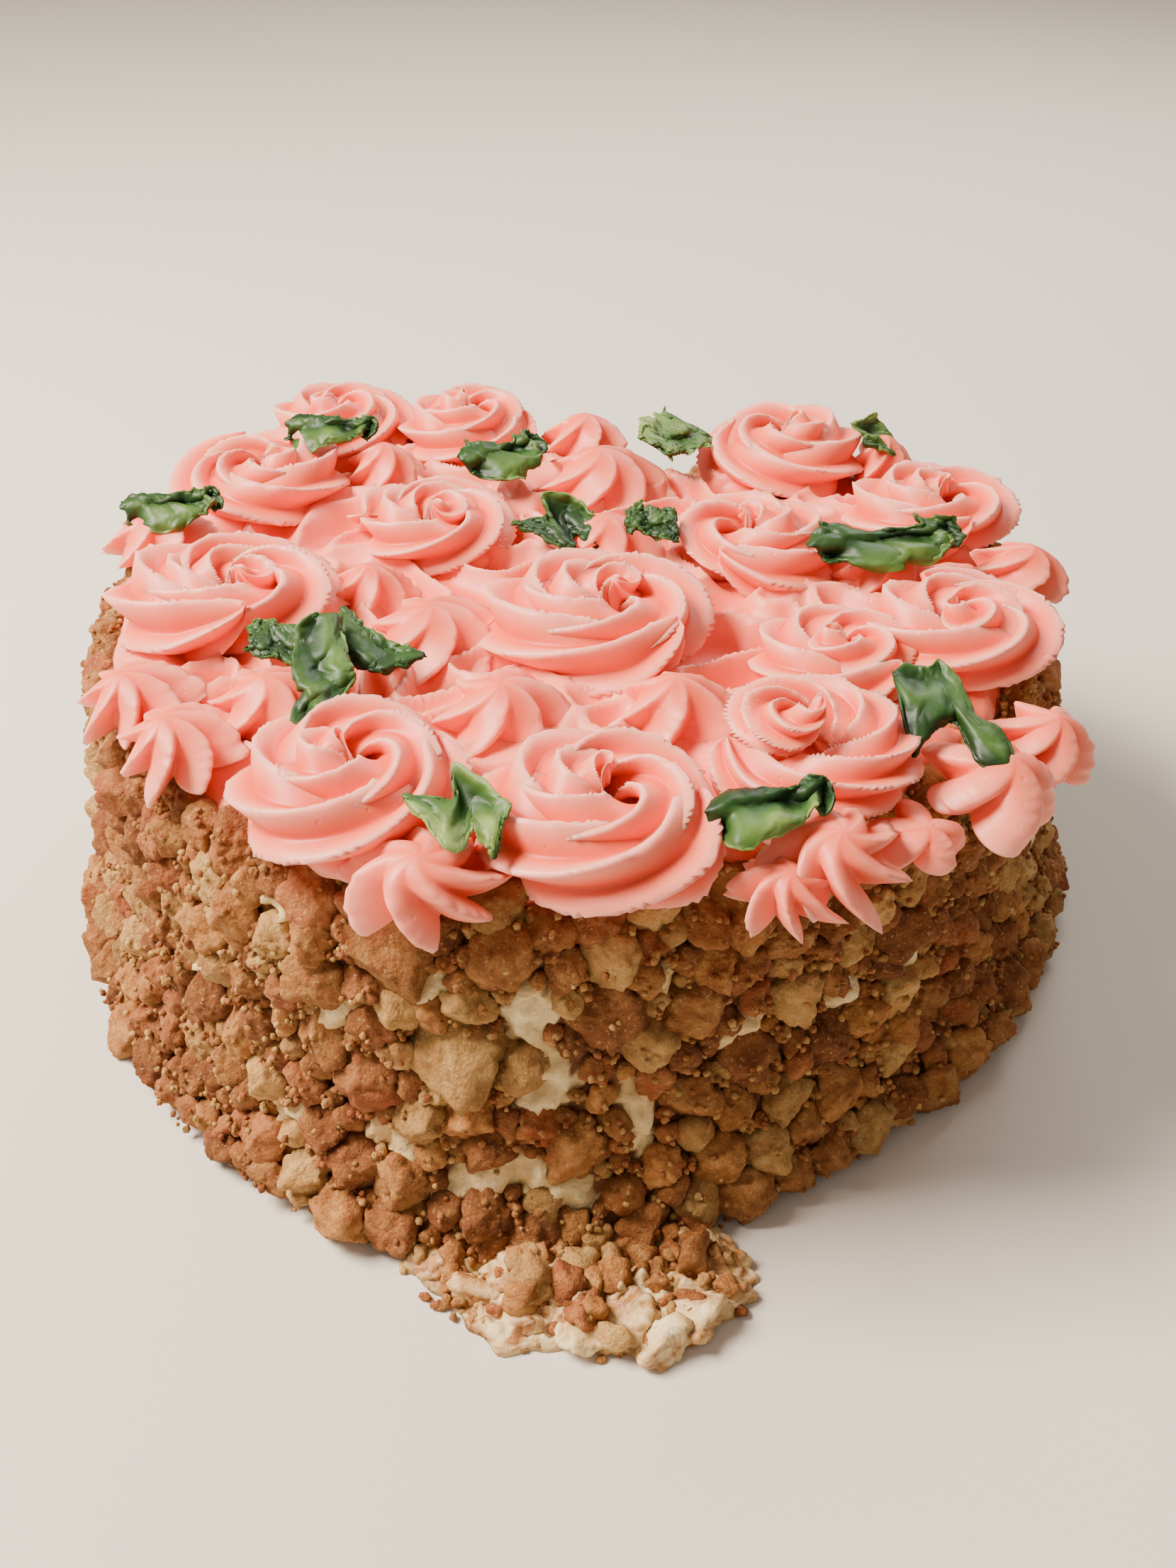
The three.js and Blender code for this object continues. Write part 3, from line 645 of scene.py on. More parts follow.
def icing_material():
    """Soft salmon buttercream, with painted shade deeper in its grooves, painted light paler on its thin
    edges, and a few air holes.
    """
    finish = Finish("pink_buttercream", 0.42, 0.42)
    # Painted shade and light: the ridge mark runs from deep colour in the grooves to pale on the thin
    # edges.
    groove = finish.ramp(finish.mark("ridge"), (0, "ec5030"), (0.35, "f77252"), (0.8, "fc9880"),
                         (1, "fdb2a2"))
    cloudy = finish.ramp(finish.grain(55, 3), (0.3, "faf0ee"), (0.7, "ffffff"))
    finish.drive("Base Color", finish.mix(0.7, groove, cloudy, "MULTIPLY"))
    finish.drive("Roughness", finish.scaled(finish.grain(140, 4), 0.36, 0.52))
    pits = finish.scaled(finish.cells(190), 0, 1, 0.05, 0.12)
    fine, soft = finish.grain(700, 4), finish.grain(160, 3)
    finish.bump((pits, 0.35, 0.0004), (fine, 0.12, 0.0004), (soft, 0.15, 0.001))
    finish.glow(0.4, (1, 0.34, 0.2), 0.0035)
    return finish.material


pink_buttercream = icing_material()


def bed_place(u, v):
    turn = 2 * math.pi * u
    inner = min(1, v * 1.04)
    point = heart_point(turn, BED_EDGE * inner * (1 + 0.012 * math.sin(BED_SCALLOPS * turn)))
    bend = Vector((noise.noise(point * 30), noise.noise(point * 30 + Vector((9, 0, 0))), 0)) * FOLD_WANDER
    fold = 1 - abs(noise.noise(Vector((point.x, point.y, 0)) * 70 + bend * 60 + Vector((3, 1, 0))))
    edge = max(0, 1 - inner ** 10) ** 0.5
    point.z = BED_FOOT + edge * (BED_THICKNESS + FOLD_HEIGHT * fold ** 2.2)
    if v > BED_SKIRT:
        point.z = BED_FOOT
    # The ridge mark sets the painted shade and light: deep between the folds, paler on their tops.
    return point, 0.15 + 0.6 * max(0, fold - 0.55) / 0.45


bed = bent_grid(BED_COLUMNS, BED_RINGS, bed_place, ["ridge"])
close_ends(bed)
cream_bed = finished("cream_bed", bed, pink_buttercream)
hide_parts("icing_bed")
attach(cream_bed, "root")


# ---- Rosettes ----
# Roses of buttercream, each one rope from a large star nozzle wound outwards from the middle. The
# nozzle doesn't turn with the rope, so its ridges roll over the rope once a turn, like petals.

ROSETTES = {
    # tail: where the rope ends, in degrees; start: how far round its own axis the rope is turned;
    # hand: 1 winds outwards counter-clockwise, -1 clockwise; teeth: of the nozzle
    "front_left": dict(tail=35, start=0.3, coils=1.75),
    "front": dict(tail=10, start=0.8, coils=1.85),
    "front_right": dict(tail=200, start=0.2, hand=-1, coils=1.3, teeth=7),
    "left": dict(tail=300, start=0.5, coils=1.9),
    "middle": dict(tail=-25, start=0, coils=1.9),
    "left_inner": dict(tail=200, start=0.6),
    "left_outer": dict(tail=130, start=0.1, hand=-1, coils=1.8),
    "back_left_outer": dict(tail=70, start=0.9),
    "back_left_inner": dict(tail=20, start=0.4),
    "back_right_inner": dict(tail=160, start=0.7, hand=-1),
    "back_right_outer": dict(tail=-60, start=0.2),
    "right": dict(tail=120, start=0.5),
    "right_inner": dict(tail=250, start=0.35, hand=-1),
    "between": dict(tail=330, start=0.15, coils=1.4),
}
ROPE_STEPS_A_COIL = 84
TOOTH_STEPS = 14
VALLEY = 0.5                 # of the rope's half width, at the bottom of a groove
CREST_LEAN = 0.72            # share of a tooth's step that rises gently to its edge
SPIRAL_GROWTH = 0.6          # under 1, the outer coils stay nearly round
HEART_OF_ROSE = 0.07         # where the rope starts, as a share of the rose's radius
ROPE_SHARE = 0.36            # half the rope's width, as a share of the rose's radius
ROPE_STAND = 1.62            # height of the outer coil, in halves of the rope's width
ROPE_TAPERS = (9, 7)         # how fast its end and its start grow to full width
RIDGE_SWELL = 0.16           # how uneven the ridges are, as a share of their height
RIDGE_TEAR = 0.09            # raggedness of their thin edges, as a share of the rope's half width
RIDGE_NICK = 0.35            # depth of the few deep nicks in them
ROPE_DIP = 0.0005            # how far its underside may sink into what it lies on


def crest(step):
    """Height of a ridge across one tooth, 0 to 1: a broad hollow rise to a thin edge, then a drop."""
    if step < CREST_LEAN:
        return (step / CREST_LEAN) ** 1.7
    return ((1 - step) / (1 - CREST_LEAN)) ** 1.25


def fitted(made, low, high, axes):
    """Stretches a mesh along some axes so that it just fills its node's box."""
    for axis in axes:
        reach = [vert.co[axis] for vert in made.verts]
        least, most = min(reach), max(reach)
        for vert in made.verts:
            vert.co[axis] = low[axis] + (vert.co[axis] - least) * (high[axis] - low[axis]) / (most - least)


def rosette_rope(name, tail, start, hand=1, coils=1.7, teeth=5):
    low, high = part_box(f"rosette_{name}")
    middle = (low + high) / 2
    radius = (high.x - low.x) / 2
    rope = radius * ROPE_SHARE
    seed = Vector((len(name) * 3.7, start * 50, hand))
    fall = high.z - low.z - ROPE_STAND * rope

    def place(u, v):
        wound = (1 - v) * coils * 2 * math.pi
        heading = math.radians(tail) - hand * wound
        share = v ** SPIRAL_GROWTH
        out = radius * HEART_OF_ROSE + (radius * (1 - HEART_OF_ROSE) - rope) * share
        half = rope * (0.66 + 0.34 * share)
        half *= math.sqrt(max(0, min(1, (1 - v) * coils * ROPE_TAPERS[0], v * coils * ROPE_TAPERS[1])))
        level = high.z - half * 0.92 - fall * share ** 1.6
        section = 2 * math.pi * (1 - u)
        turned = (section + hand * heading) * teeth / (2 * math.pi) + start
        tooth = math.floor(turned)
        edge = crest(1 - turned + tooth)
        ridge = tooth % teeth
        grown = 1 + RIDGE_SWELL * noise.noise(seed + Vector((ridge * 5.1, 0, heading * 0.8)))
        torn = RIDGE_TEAR * noise.noise(seed + Vector((ridge * 7.7, 3, heading * rope * 900)))
        nick = noise.noise(seed + Vector((ridge * 3.1, 9, heading * 3.2))) - 0.42
        torn -= RIDGE_NICK * max(0, nick)
        reach = half * (VALLEY + (1 - VALLEY) * edge * grown + torn * edge ** 6)
        arm = out + math.sin(section) * reach * 1.1
        point = middle + Vector((math.cos(heading) * arm, math.sin(heading) * arm, 0))
        point.z = max(level + math.cos(section) * reach, low.z - ROPE_DIP)
        # The ridge mark, edge, sets the painted shade in the grooves and the painted light on the thin
        # edges.
        return point, edge

    rope_mesh = bent_grid(teeth * TOOTH_STEPS, int(ROPE_STEPS_A_COIL * coils), place, ["ridge"])
    fitted(rope_mesh, low, high, (0, 1))
    close_ends(rope_mesh)
    piece = finished(f"swirl_{name}", rope_mesh, pink_buttercream)
    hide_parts(f"rosette_{name}")
    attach(piece, "root")


for name, shape in ROSETTES.items():
    rosette_rope(name, **shape)


# ---- Piped drops ----
# Small stars from the same nozzle, pressed and pulled away, which fill the gaps and hang over the
# rim. Their fins are thin and curl outwards at their feet.

DROPS = {
    # twist: of its fins from foot to point; lean: degrees outwards over the rim; hang: how far the
    # fins reach down past the foot, as a share of its height; teeth: of the nozzle; petal: how far its
    # fins have spread into round petals, 0 to 1
    "left_rear": dict(twist=0.5, lean=14, hang=0.35, teeth=7, petal=0.3),
    "left_front": dict(twist=0.6, lean=14, hang=0.4, teeth=7, petal=0.3),
    "front": dict(twist=-0.5, lean=14, hang=0.5, teeth=7, petal=0.3),
    "front_right": dict(twist=-0.6, lean=12, hang=0.4, teeth=7, petal=0.15),
    "front_right_low": dict(twist=-0.4, lean=14, hang=0.3, teeth=7, petal=0.15),
    "right_petal": dict(twist=0.2, lean=16, hang=0.5, teeth=5, petal=0.7),
    "right_front": dict(twist=0.4, lean=14, hang=0.35, teeth=5, petal=0.7),
    "right_rear": dict(twist=0.5, lean=14, hang=0.3, petal=0.5),
    "inner_left": dict(twist=0.8),
    "inner_front": dict(twist=0.6, lean=6),
    "beside_left": dict(twist=0.7, lean=10),
    "beside_middle": dict(twist=0.5),
    "cleft": dict(twist=0.9),
    "middle_rear": dict(twist=0.6),
    "left_gap": dict(twist=0.8),
    "right_gap": dict(twist=0.6),
    "left_lower": dict(twist=0.5),
    "left_rim": dict(twist=0.6, lean=14, hang=0.1),
    "left_back_rim": dict(twist=0.5, lean=10, hang=0.1),
    "right_rim": dict(twist=0.7, lean=14, hang=0.1),
    "right_lobe": dict(twist=0.6, lean=8, hang=0.1),
}
DROP_ROWS = 44
DROP_HEM = 0.86              # share of the rows above the fins' lower edges; the rest close the foot
DROP_VALLEY = 0.6            # of the half width, at the bottom of a groove
DEEP_VALLEY = 0.4            # the same in the drops that hang lower than DEEP_HANG
DEEP_HANG = 0.2
FIN_SWELL = 0.45             # how uneven the fins are
FIN_TEAR = 0.1               # raggedness of their edges
FIN_CURL = 0.12              # how far their feet curl up, as a share of the drop's height
FOOT_HOLLOW = 0.15           # height of the hollow underneath, as the same share


def piped_drop(name, seed, twist, lean=0, hang=0, teeth=6, petal=0):
    low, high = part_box(f"drop_{name}")
    middle = (low + high) / 2
    across = max(high.x - low.x, high.y - low.y)
    tall = high.z - low.z
    outwards = math.atan2(middle.y - heart_middle.y, middle.x - heart_middle.x)
    tip = Matrix.Rotation(math.radians(lean), 4, Vector((-math.sin(outwards), math.cos(outwards), 0)))
    shift = Vector((seed * 2.3, seed * 9.1, 5))
    groove = DEEP_VALLEY if hang > DEEP_HANG else DROP_VALLEY

    def place(u, v):
        rise = min(1, v / DROP_HEM)
        inner = max(0, v - DROP_HEM) / (1 - DROP_HEM)
        turned = u * teeth + seed * 0.37
        tooth = math.floor(turned) % teeth
        step = turned - math.floor(turned)
        edge = crest(step) * (1 - petal) + math.sin(math.pi * step) ** 0.75 * petal
        grown = 1 + FIN_SWELL * noise.noise(shift + Vector((tooth * 4.3, 0, 0)))
        valley = 1 - (1 - groove) * min(1, rise * 1.5)
        reach = math.sin(rise * math.pi / 2) ** 1.1 * (valley + (1 - valley) * edge * grown)
        reach *= 1 + FIN_TEAR * noise.noise(shift + Vector((tooth * 3.3, 4, v * 14))) * edge ** 3
        heading = 2 * math.pi * u + twist * (1 - rise) * 2.2
        height = tall * (1 - rise ** 1.5)
        facing = max(0, math.cos(heading - outwards))
        height -= hang * tall * rise ** 3 * edge ** (1.5 - petal) * grown * facing
        height += FIN_CURL * tall * edge * rise ** 6
        reach = reach * across / 2 * (1 - 0.9 * inner)
        height += inner * tall * FOOT_HOLLOW
        point = Vector((math.cos(heading) * reach, math.sin(heading) * reach, height - tall * 0.4))
        # The ridge mark sets the painted shade in the grooves and underneath, and the painted light on the
        # fins' edges.
        return tip @ point + middle, (0.2 + 0.8 * edge * rise ** 0.5) * (1 - inner)

    star = bent_grid(teeth * TOOTH_STEPS, DROP_ROWS, place, ["ridge"])
    fitted(star, low, high, (0, 1, 2))
    close_ends(star)
    piece = finished(f"star_{name}", star, pink_buttercream)
    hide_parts(f"drop_{name}")
    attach(piece, "root")


for seed, (name, shape) in enumerate(DROPS.items(), 1):
    piped_drop(name, seed, **shape)


# ---- Leaves ----
# Ruffled leaves of green icing from a leaf nozzle, laid over the joins between the roses. Each is one
# thin ribbon that waves, folds and curls over at its edges.

CAMERA_PLACE = Vector((0.0852, -0.3337, 0.2887))     # from the heart's middle
CAMERA_DOWN = 35.98
CAMERA_TURN = 12.76

LEAF_FORMS = {
    # rows along the leaf, points across it: millimetres right, up and towards the camera
    "three_pointed": [
        [(-9, 2.3, -0.5), (-9.3, 2.6, 0), (-9.5, 2.9, 0.5), (-9.7, 3.2, 0)],
        [(-7, -0.3, 0.5), (-6.4, 0.4, 0.8), (-5.8, 1.5, -0.5), (-5.5, 2.8, 0)],
        [(-4.8, -2.7, 1.6), (-3.5, -1.1, 0.2), (-3, 0.3, 0.6), (-2.9, 2, 0)],
        [(-1.3, -6.2, 1.4), (-1.5, -3.3, 1.6), (-0.7, -0.2, 1.2), (-0.2, 2.5, -0.5)],
        [(1.6, -6.4, 0.6), (1.3, -3.3, -0.6), (1.3, 0.4, -2.2), (-0.8, 8.4, 2.2)],
        [(2.7, -2.9, -0.8), (3.1, -1, -2), (3.8, 2.3, -1), (4.4, 5.4, 2.6)],
        [(4.1, -4.4, -0.4), (4.9, -2.2, 0.4), (6.4, 0.7, 0), (8.1, 3.2, 2.8)],
        [(5.8, -5.6, 0.2), (6.4, -3.4, 1.5), (7.8, -1.1, 1.2), (9.7, 0.9, 2.2)],
        [(6.2, -6.8, -0.5), (6.9, -5.4, 0.8), (7.8, -4.2, 1), (8.4, -2.7, 1)],
        [(6.5, -8.2, -1.5), (6.7, -8.4, -1.2), (7.1, -8.2, -1), (7.9, -6.8, -0.8)],
    ],
    "rolled": [
        [(-12.8, -4.5, -1.5), (-12.1, -3, -2.5), (-12.4, -0.5, -0.5), (-13.6, 0.5, 0.5),
         (-12.1, 2.4, -1)],
        [(-10.1, -4.7, -2), (-9.4, -2.6, -3.5), (-9.2, 0.5, 1), (-9.4, 2.8, 1), (-9.2, 4.8, -1)],
        [(-7.3, -6.8, 0.5), (-6.5, -3.4, 1.2), (-5.7, 0.7, 0.4), (-5.9, 2.9, 1.2), (-5.7, 5.1, -1)],
        [(-2.5, -6.4, 0.4), (-1.5, -2.8, 2), (-2.3, 0.8, 0.2), (-2.7, 2.9, 0.8), (-2.5, 4.8, -1)],
        [(1.9, -4.7, 0.4), (2.1, -1.1, 2.4), (0.8, 1.6, -0.8), (0.2, 3.3, 1), (1.5, 4.6, -0.2)],
        [(6.9, -2.4, 0.8), (5.7, -0.9, 0.8), (4.4, 1.4, -2.2), (4.4, 3.5, -0.6), (5.7, 5.1, 1.6)],
        [(8.4, -0.7, 1.4), (8.2, 0.5, 0.2), (7.1, 2.2, -1.6), (7.7, 3.9, 1.6), (7.7, 6.2, 0.2)],
        [(9.8, 1.9, 2), (9.6, 2.9, 1.2), (9.6, 4.1, -0.6), (10, 5.2, 0.2), (10.1, 6.8, 1.2)],
        [(10.1, 0.3, -1), (11.1, 1.6, -3), (11.6, 3.3, -2.6), (11.8, 4.9, -1.2), (11.7, 6.4, 0.6)],
        [(10.9, -0.9, -1), (12.4, 0.1, -0.4), (13.6, 2.2, 0.4), (13.4, 3.5, 0.2), (12.8, 4.6, 0.2)],
    ],
    "tailed": [
        [(-11.3, 4.9, 0.8), (-12, 5.9, 0.2), (-12.8, 7.3, -0.4), (-13.3, 8.1, 0), (-13.6, 8.9, 0)],
        [(-9, -6.2, -2), (-10, 0, -1.2), (-10, 4.3, 1.4), (-10.6, 7.1, -0.6), (-11, 10.5, 0.6)],
        [(-7.2, -8, -1.2), (-7.8, -1.4, -0.2), (-7.2, 3.5, 1.4), (-7.2, 6.3, -1.6), (-7.4, 9.5, -0.4)],
        [(-5.2, -5, -1), (-6.4, 0.1, 0.6), (-4.9, 3.5, 1.2), (-4.9, 6.3, -1.2), (-5, 9.6, 0.2)],
        [(-3.1, -2.4, -1), (-3.5, -0.2, 1.4), (-2.3, 3.9, 1.4), (-2.3, 6.9, -0.4), (-2.7, 10.9, 1)],
        [(-1.1, -1.8, -2), (-0.7, 0.1, 0.8), (-0.1, 2.1, 0.6), (0.1, 4.9, 0.8), (0.1, 7.9, 1)],
        [(1.1, -2, -1), (1.3, -0.8, -0.6), (1.9, 0.5, 1.4), (2.3, 2.1, 1.2), (2.6, 4.5, 0.8)],
        [(3.7, -5.4, -1), (4.1, -4.2, -0.2), (4.9, -3, 1.4), (5.2, -1.6, 1.2), (5.2, -0.4, 0.6)],
        [(5.6, -9, -0.8), (6.4, -7.8, 0.4), (7.8, -5.8, 1.4), (8.8, -4, 1.2), (10, -3, 0.2)],
        [(9, -10.8, -1.2), (10, -9.6, 0.2), (11, -8.2, 1.2), (12, -6.6, 0.6), (12.6, -5.4, -0.4)],
        [(11.6, -10.9, -1.2), (12, -10.8, -0.8), (12.6, -10.5, -0.4), (13.2, -10.1, -0.6),
         (13.6, -9.4, -1)],
    ],
    "bunched": [
        [(-2.8, 11.4, 0), (-1.6, 11.5, 0.6), (-0.2, 11.5, 0.8), (1.2, 11.4, 0.2), (2.4, 11, -0.6)],
        [(-5.9, 9.3, 1.2), (-3.5, 8.2, -0.8), (0.1, 7.7, 1.4), (1.5, 7.7, 0.2), (2.9, 7.2, -1)],
        [(-6.6, 5.3, -0.2), (-4, 3.9, -0.8), (-0.7, 3.9, 0.8), (2, 4.4, 1), (3.8, 3.9, 0)],
        [(-6.8, 1.1, 0.6), (-4.7, 0.6, 1.2), (-1.8, 1.1, -1.4), (2, 1.5, 1), (5.3, 1.8, 0.6)],
        [(-5.9, -2.5, -0.8), (-3.7, -1.8, 1.4), (-0.4, -1.3, -1), (3.4, -0.8, 0.8), (6.6, -0.1, 0)],
        [(-4.7, -4.1, -1.2), (-2.5, -3.4, 1.8), (0.1, -3.2, 0.4), (3.4, -3.2, -1.2), (6.8, -2.7, -0.4)],
        [(-6.3, -8.4, 0.4), (-3.3, -6.5, -1.2), (-0.7, -5.6, 1.4), (2, -5.6, -0.6), (4.1, -6, -1)],
        [(-3.7, -9.3, -0.6), (-1.8, -8.6, -0.8), (0.3, -7.9, 0.8), (2.4, -7.4, 0.6), (4.1, -7.9, -0.6)],
        [(0.3, -10.5, -1.2), (0.9, -10.9, -0.6), (1.5, -11.5, 0), (2.1, -11, -0.6), (2.8, -10.1, -1.2)],
    ],
    "broad": [
        [(-8.3, 1.6, -1), (-7.6, 3.5, 0.2), (-6.9, 5.4, 0.6), (-6.4, 7.1, 0)],
        [(-7.6, -2.5, 0.2), (-6.4, -0.1, 1), (-5.2, 3.5, 1.2), (-4.3, 7, 0)],
        [(-6.4, -4.9, -1.6), (-4.5, -2, 1.2), (-3, 1.1, 0.4), (-2.4, 4, 0)],
        [(-3.5, -6.9, -1.2), (-1.6, -4, 1.8), (-0.6, -1.1, -0.8), (-0.4, 1.8, 0.8)],
        [(0.1, -7.1, 0), (1.1, -4.9, 0.6), (1.8, -2.5, -1), (2.3, 0.1, 0.6)],
        [(3, -6.1, 0), (3.7, -4.5, 0.6), (4.5, -2.8, 0), (4.9, -1.2, 0)],
        [(6.1, -4.7, -0.6), (6.9, -4, 0), (7.6, -3, 0), (8.3, -2.3, -0.6)],
    ],
    "lobed": [
        [(4.8, -4.8, -1), (4.6, -1.9, 0.2), (4.3, 1, -0.6), (4.1, 4, 0)],
        [(1.6, -4.1, 0.6), (1.4, -1.4, -0.8), (1.2, 0.5, 1), (1.4, 3.5, 0)],
        [(-1.3, -3.1, 0), (-1.3, -0.9, -1), (-1, 1.5, -0.6), (-0.8, 4.6, 1)],
        [(-3.5, -2.4, 0), (-3.2, -0.4, 1), (-3.2, 1.8, 0.6), (-2.7, 4.8, 0.6)],
        [(-4.8, -1.4, 0), (-4.7, 0.1, 0.6), (-4.6, 2, 0.6), (-4.3, 3.5, 0)],
    ],
}

LEAVES = {
    # turn: of the form about the vertical, in degrees; light: painted light and shade of the first and
    # last edge, from dark to light; reach: how far the leaf runs past its node's box, left, right, front
    # and back, in mm; ruffle: depth of its creases against the plainest leaves
    "front_left": dict(form="three_pointed", light=(0.82, 0.45), ruffle=1),
    "front_right": dict(form="rolled", light=(0.52, 0.08), reach=(0, 1, 3, 2), ruffle=1),
    "right": dict(form="tailed", light=(0.18, 0.34), ruffle=1),
    "cluster_long": dict(form="bunched", light=(0.3, 0.48), reach=(-2.5, -1, 6, -2), ruffle=1.5),
    "cluster_side": dict(form="broad", light=(0.2, 0.42), reach=(4, -5, 0, 3), ruffle=1.5),
    "cluster_low": dict(form="lobed", light=(0.3, 0.4), ruffle=1.5),
    "middle_long": dict(form="three_pointed", turn=30, light=(0.15, 0.3)),
    "middle_short": dict(form="lobed", light=(0.2, 0.35)),
    "left_rim": dict(form="rolled", turn=8, light=(0.45, 0.3)),
    "left_lobe": dict(form="rolled", turn=-20, light=(0.45, 0.25)),
    "left_inner": dict(form="rolled", turn=30, light=(0.45, 0.3)),
    "cleft": dict(form="lobed", turn=60, light=(0.6, 0.7), reach=(5, 1, 3, 0)),
    "right_lobe": dict(form="three_pointed", turn=80, light=(0.5, 0.6)),
    "right_long": dict(form="rolled", turn=16, light=(0.4, 0.2), ruffle=2.4),
}
LEAF_THICKNESS = 0.0011
LEAF_COLUMNS = 88
LEAF_ROWS = 72
LEAF_LEAN = 0.75             # how far the forms lie back from facing the camera
LEAF_CRUMPLES = [(2.5, 0.0007), (6, 0.0006), (15, 0.0002)]      # creases in a half leaf, metres
LEAF_CRUMPLE_SEED = 1795548317      # without one, noise_vector starts from the clock
LEAF_RISE = 2                # most height, in heights of its node's box
TURNED_RISE = 1.1            # the same for a turned form
MM_A_METRE = 1000


def leaf_material():
    finish = Finish("green_icing", 0.45, 0.35)
    # Painted light and shade: the shade mark runs from the shaded valleys of the leaves to their lit rims.
    shade = finish.ramp(finish.mark("shade"), (0, "10240b"), (0.35, "264a18"), (0.7, "557530"),
                        (1, "93a85a"))
    mottle = finish.ramp(finish.grain(160, 5), (0.3, "9aa392"), (0.7, "ffffff"))
    finish.drive("Base Color", finish.mix(0.8, shade, mottle, "MULTIPLY"))
    finish.drive("Roughness", finish.scaled(finish.grain(300, 3), 0.38, 0.56))
    finish.bump((finish.grain(420, 5), 0.25, 0.0005), (finish.grain(150, 3), 0.25, 0.0008))
    finish.glow(0.12, (0.4, 1, 0.3), 0.002)
    return finish.material


green_icing = leaf_material()
view = Euler((math.radians(90 - CAMERA_DOWN), 0, math.radians(CAMERA_TURN))).to_matrix()


def smooth_weights(places, count):
    """Weights of a row of count points, for each of some places along a smooth curve through them."""
    weights = np.zeros((len(places), count))
    for row, place in zip(weights, np.array(places) * (count - 1)):
        i = min(int(place), count - 2)
        f = place - i
        row[max(i - 1, 0)] += (-f + 2 * f * f - f ** 3) / 2
        row[i] += (2 - 5 * f * f + 3 * f ** 3) / 2
        row[i + 1] += (f + 4 * f * f - 3 * f ** 3) / 2
        row[min(i + 2, count - 1)] += (f ** 3 - f * f) / 2
    return weights


def piped_leaf(name, seed, form, light, turn=0, reach=(0, 0, 0, 0), ruffle=2):
    low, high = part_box(f"leaf_{name}")
    left, right, front, back = reach
    low = low - Vector((left, front, 0)) / MM_A_METRE
    high = high + Vector((right, back, 0)) / MM_A_METRE
    middle = (low + high) / 2
    ray = (middle - heart_middle - CAMERA_PLACE).normalized()
    spin = Matrix.Rotation(math.radians(turn), 3, "Z")
    axes = [view.col[0], view.col[1] + ray * LEAF_LEAN, -ray]
    axes = np.array([spin @ axis for axis in axes]) / MM_A_METRE
    net = np.array(LEAF_FORMS[form])
    half = LEAF_ROWS // 2
    lengthwise = smooth_weights(np.linspace(0, 1, LEAF_COLUMNS + 1), len(net))
    crosswise = smooth_weights(0.5 - 0.5 * np.cos(np.linspace(0, math.pi, half + 1)), len(net[0]))
    raised = np.einsum("km,mn,ln->kl", lengthwise, net[:, :, 2], crosswise)
    sheet = np.einsum("km,mnd,ln->kld", lengthwise, net @ axes, crosswise)
    shift = Vector((seed * 3.1, seed * 1.7, seed * 0.9))
    for k in range(LEAF_COLUMNS + 1):
        for h in range(half + 1):
            across = math.cos(math.pi * h / half)
            where = Vector((2 * k / LEAF_COLUMNS, across * 0.6, 0))
            for pitch, depth in LEAF_CRUMPLES:
                crease = ruffle * depth * (0.4 + 0.9 * across ** 4)
                sheet[k, h] += noise.noise_vector(shift + where * pitch) * crease
    facing = np.cross(np.gradient(sheet, axis=0), np.gradient(sheet, axis=1))
    facing /= np.linalg.norm(facing, axis=2)[:, :, None] + 1e-12

    def place(u, v):
        k = round(u * LEAF_COLUMNS)
        step = round(v * LEAF_ROWS)
        h = min(step, LEAF_ROWS - step)
        across = math.cos(math.pi * h / half)
        side = 1 if step < half else -1
        taper = min(1, (1 - abs(2 * u - 1)) * 12 + 0.1) ** 0.5
        thick = math.sin(math.pi * h / half) ** 0.6 * taper * LEAF_THICKNESS / 2
        # Painted light and shade: each half lit or shaded as the leaf's light says, lighter where the
        # sheet stands towards the camera and darker in its hollows, a painted highlight along the rims,
        # and a little tone at random.
        shade = light[0] + (light[1] - light[0]) * (0.5 - 0.5 * max(-1, min(1, across * 3)))
        shade += 0.13 * raised[k, h] + 0.3 * abs(across) ** 9
        shade += 0.15 * noise.noise(shift + Vector((u * 5, across * 2, 2)))
        return Vector(sheet[k, h] + facing[k, h] * side * thick), min(1, max(0, shade))

    leaf = bent_grid(LEAF_COLUMNS, LEAF_ROWS, place, ["shade"])
    fitted(leaf, low, high, (0, 1))
    heights = [vert.co.z for vert in leaf.verts]
    tall = max(heights) - min(heights)
    squeeze = min(1, (high.z - low.z) * (TURNED_RISE if turn else LEAF_RISE) / tall)
    lift = middle.z - (min(heights) + max(heights)) / 2 * squeeze
    for vert in leaf.verts:
        vert.co.z = vert.co.z * squeeze + lift
    close_ends(leaf)
    piece = finished(f"piped_leaf_{name}", leaf, green_icing)
    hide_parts(f"leaf_{name}")
    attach(piece, "root")


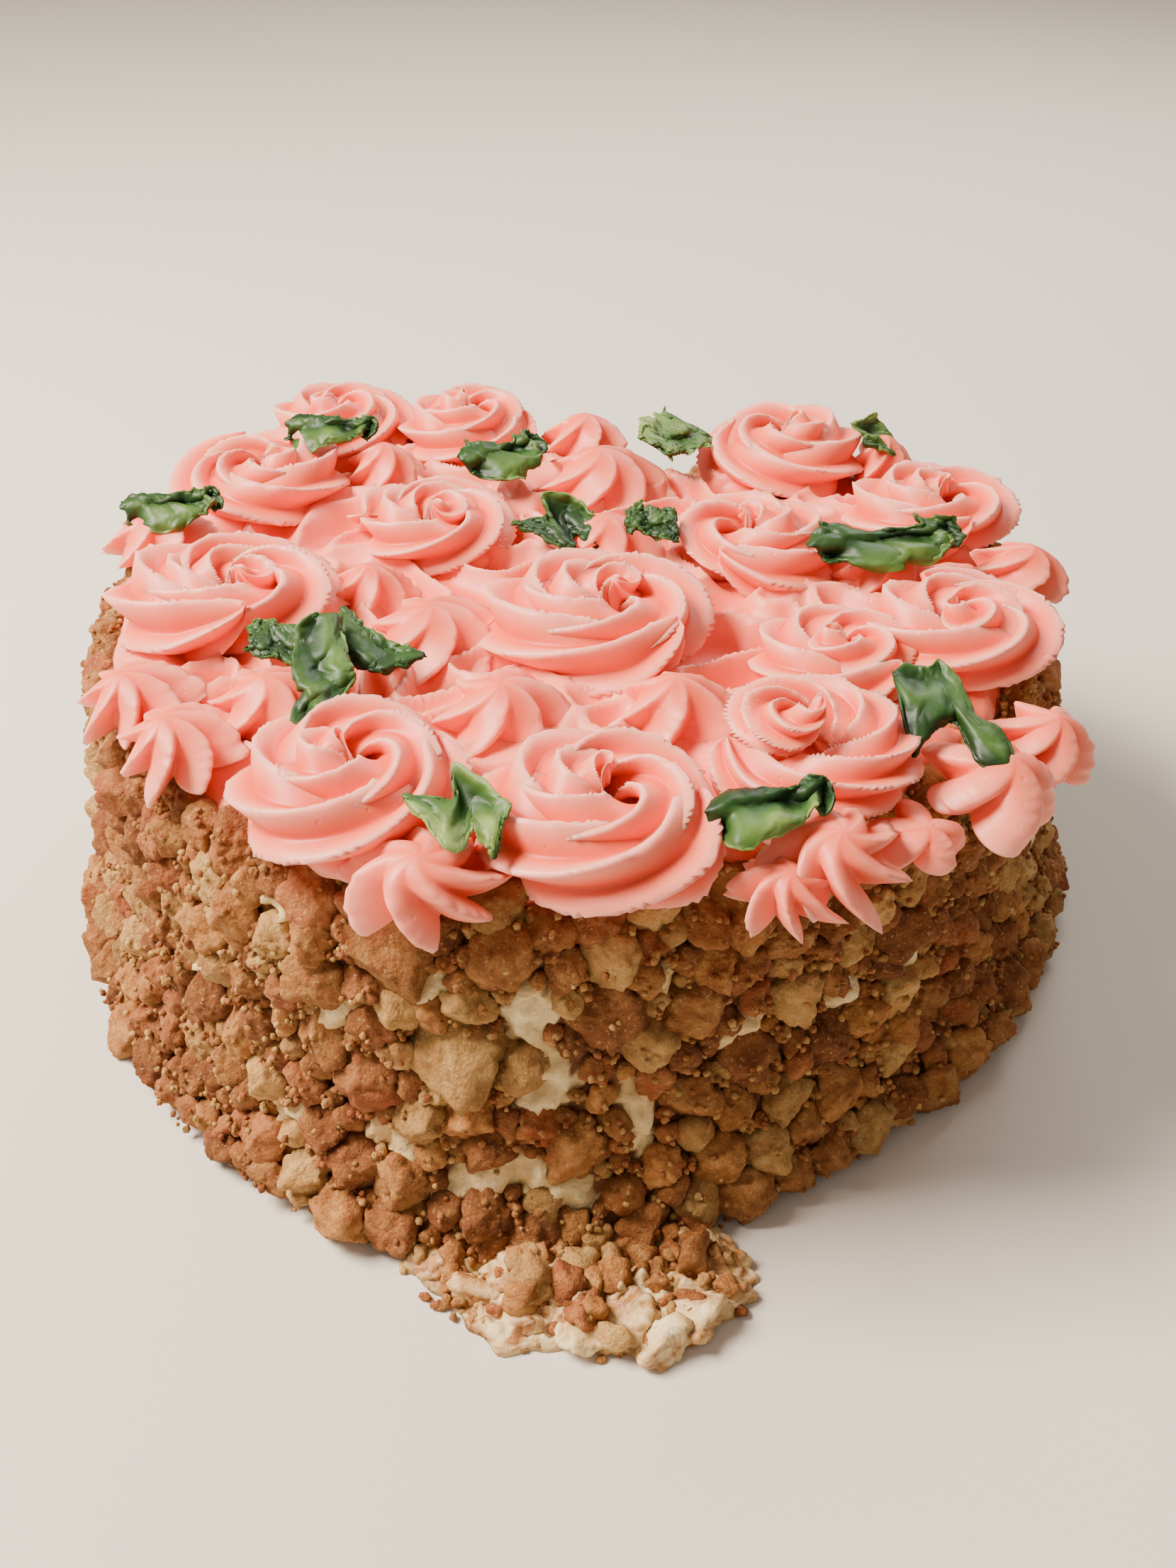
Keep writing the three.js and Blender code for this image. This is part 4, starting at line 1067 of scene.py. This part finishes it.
noise.seed_set(LEAF_CRUMPLE_SEED)
for seed, (name, shape) in enumerate(LEAVES.items(), 1):
    piped_leaf(name, seed, **shape)


# ---- Floor, light and camera ----
# A plain pale floor under soft studio light: a warm key light on the left, a weak fill in front and a
# rim light behind. The camera looks from the photograph's viewing angle.

FLOOR_HALF = 15
ROOM_LIGHT = 0.4
LIGHT_AIM = Vector((0, 0, 0.06))

floor_mesh = bmesh.new()
bmesh.ops.create_grid(floor_mesh, x_segments=1, y_segments=1, size=FLOOR_HALF)
floor_finish = Finish("floor", 0.8, 0.2)
floor_finish.shader.inputs["Base Color"].default_value = tone("d8cfc2")
floor = finished("floor", floor_mesh, floor_finish.material, smooth=False)

world = bpy.data.worlds.new("soft_room")
world.use_nodes = True
background = world.node_tree.nodes["Background"].inputs
background["Color"].default_value = tone("efe6da")
background["Strength"].default_value = ROOM_LIGHT
bpy.context.scene.world = world


def soft_light(name, place, size, power, colour):
    """A square soft box aimed at the cake."""
    light = bpy.data.lights.new(name, "AREA")
    light.size = size
    light.energy = power
    light.color = colour
    lamp = in_scene(name, light)
    lamp.location = place
    lamp.rotation_euler = (LIGHT_AIM - lamp.location).to_track_quat("-Z", "Y").to_euler()


soft_light("key", Vector((-0.8, -0.2, 1.05)), size=0.55, power=60, colour=(1, 0.9, 0.79))
soft_light("fill", Vector((-0.3, -1.1, 0.8)), size=0.9, power=1.5, colour=(1, 0.93, 0.85))
soft_light("rim", Vector((0.2, 0.9, 0.8)), size=0.6, power=8, colour=(1, 0.96, 0.92))

PHOTO_HEIGHT_PX = 2212
PHOTO_FOCUS_PX = 2250
SENSOR_MM = 36
CAMERA_ROLL = 0.14

lens = bpy.data.cameras.new("camera")
lens.sensor_width = SENSOR_MM
lens.lens = SENSOR_MM * PHOTO_FOCUS_PX / PHOTO_HEIGHT_PX
lens.clip_start = 0.01
camera = in_scene("camera", lens)
camera.location = heart_middle + CAMERA_PLACE
aim = view @ Matrix.Rotation(math.radians(-CAMERA_ROLL), 3, "Z")
camera.rotation_euler = aim.to_euler()
bpy.context.scene.camera = camera
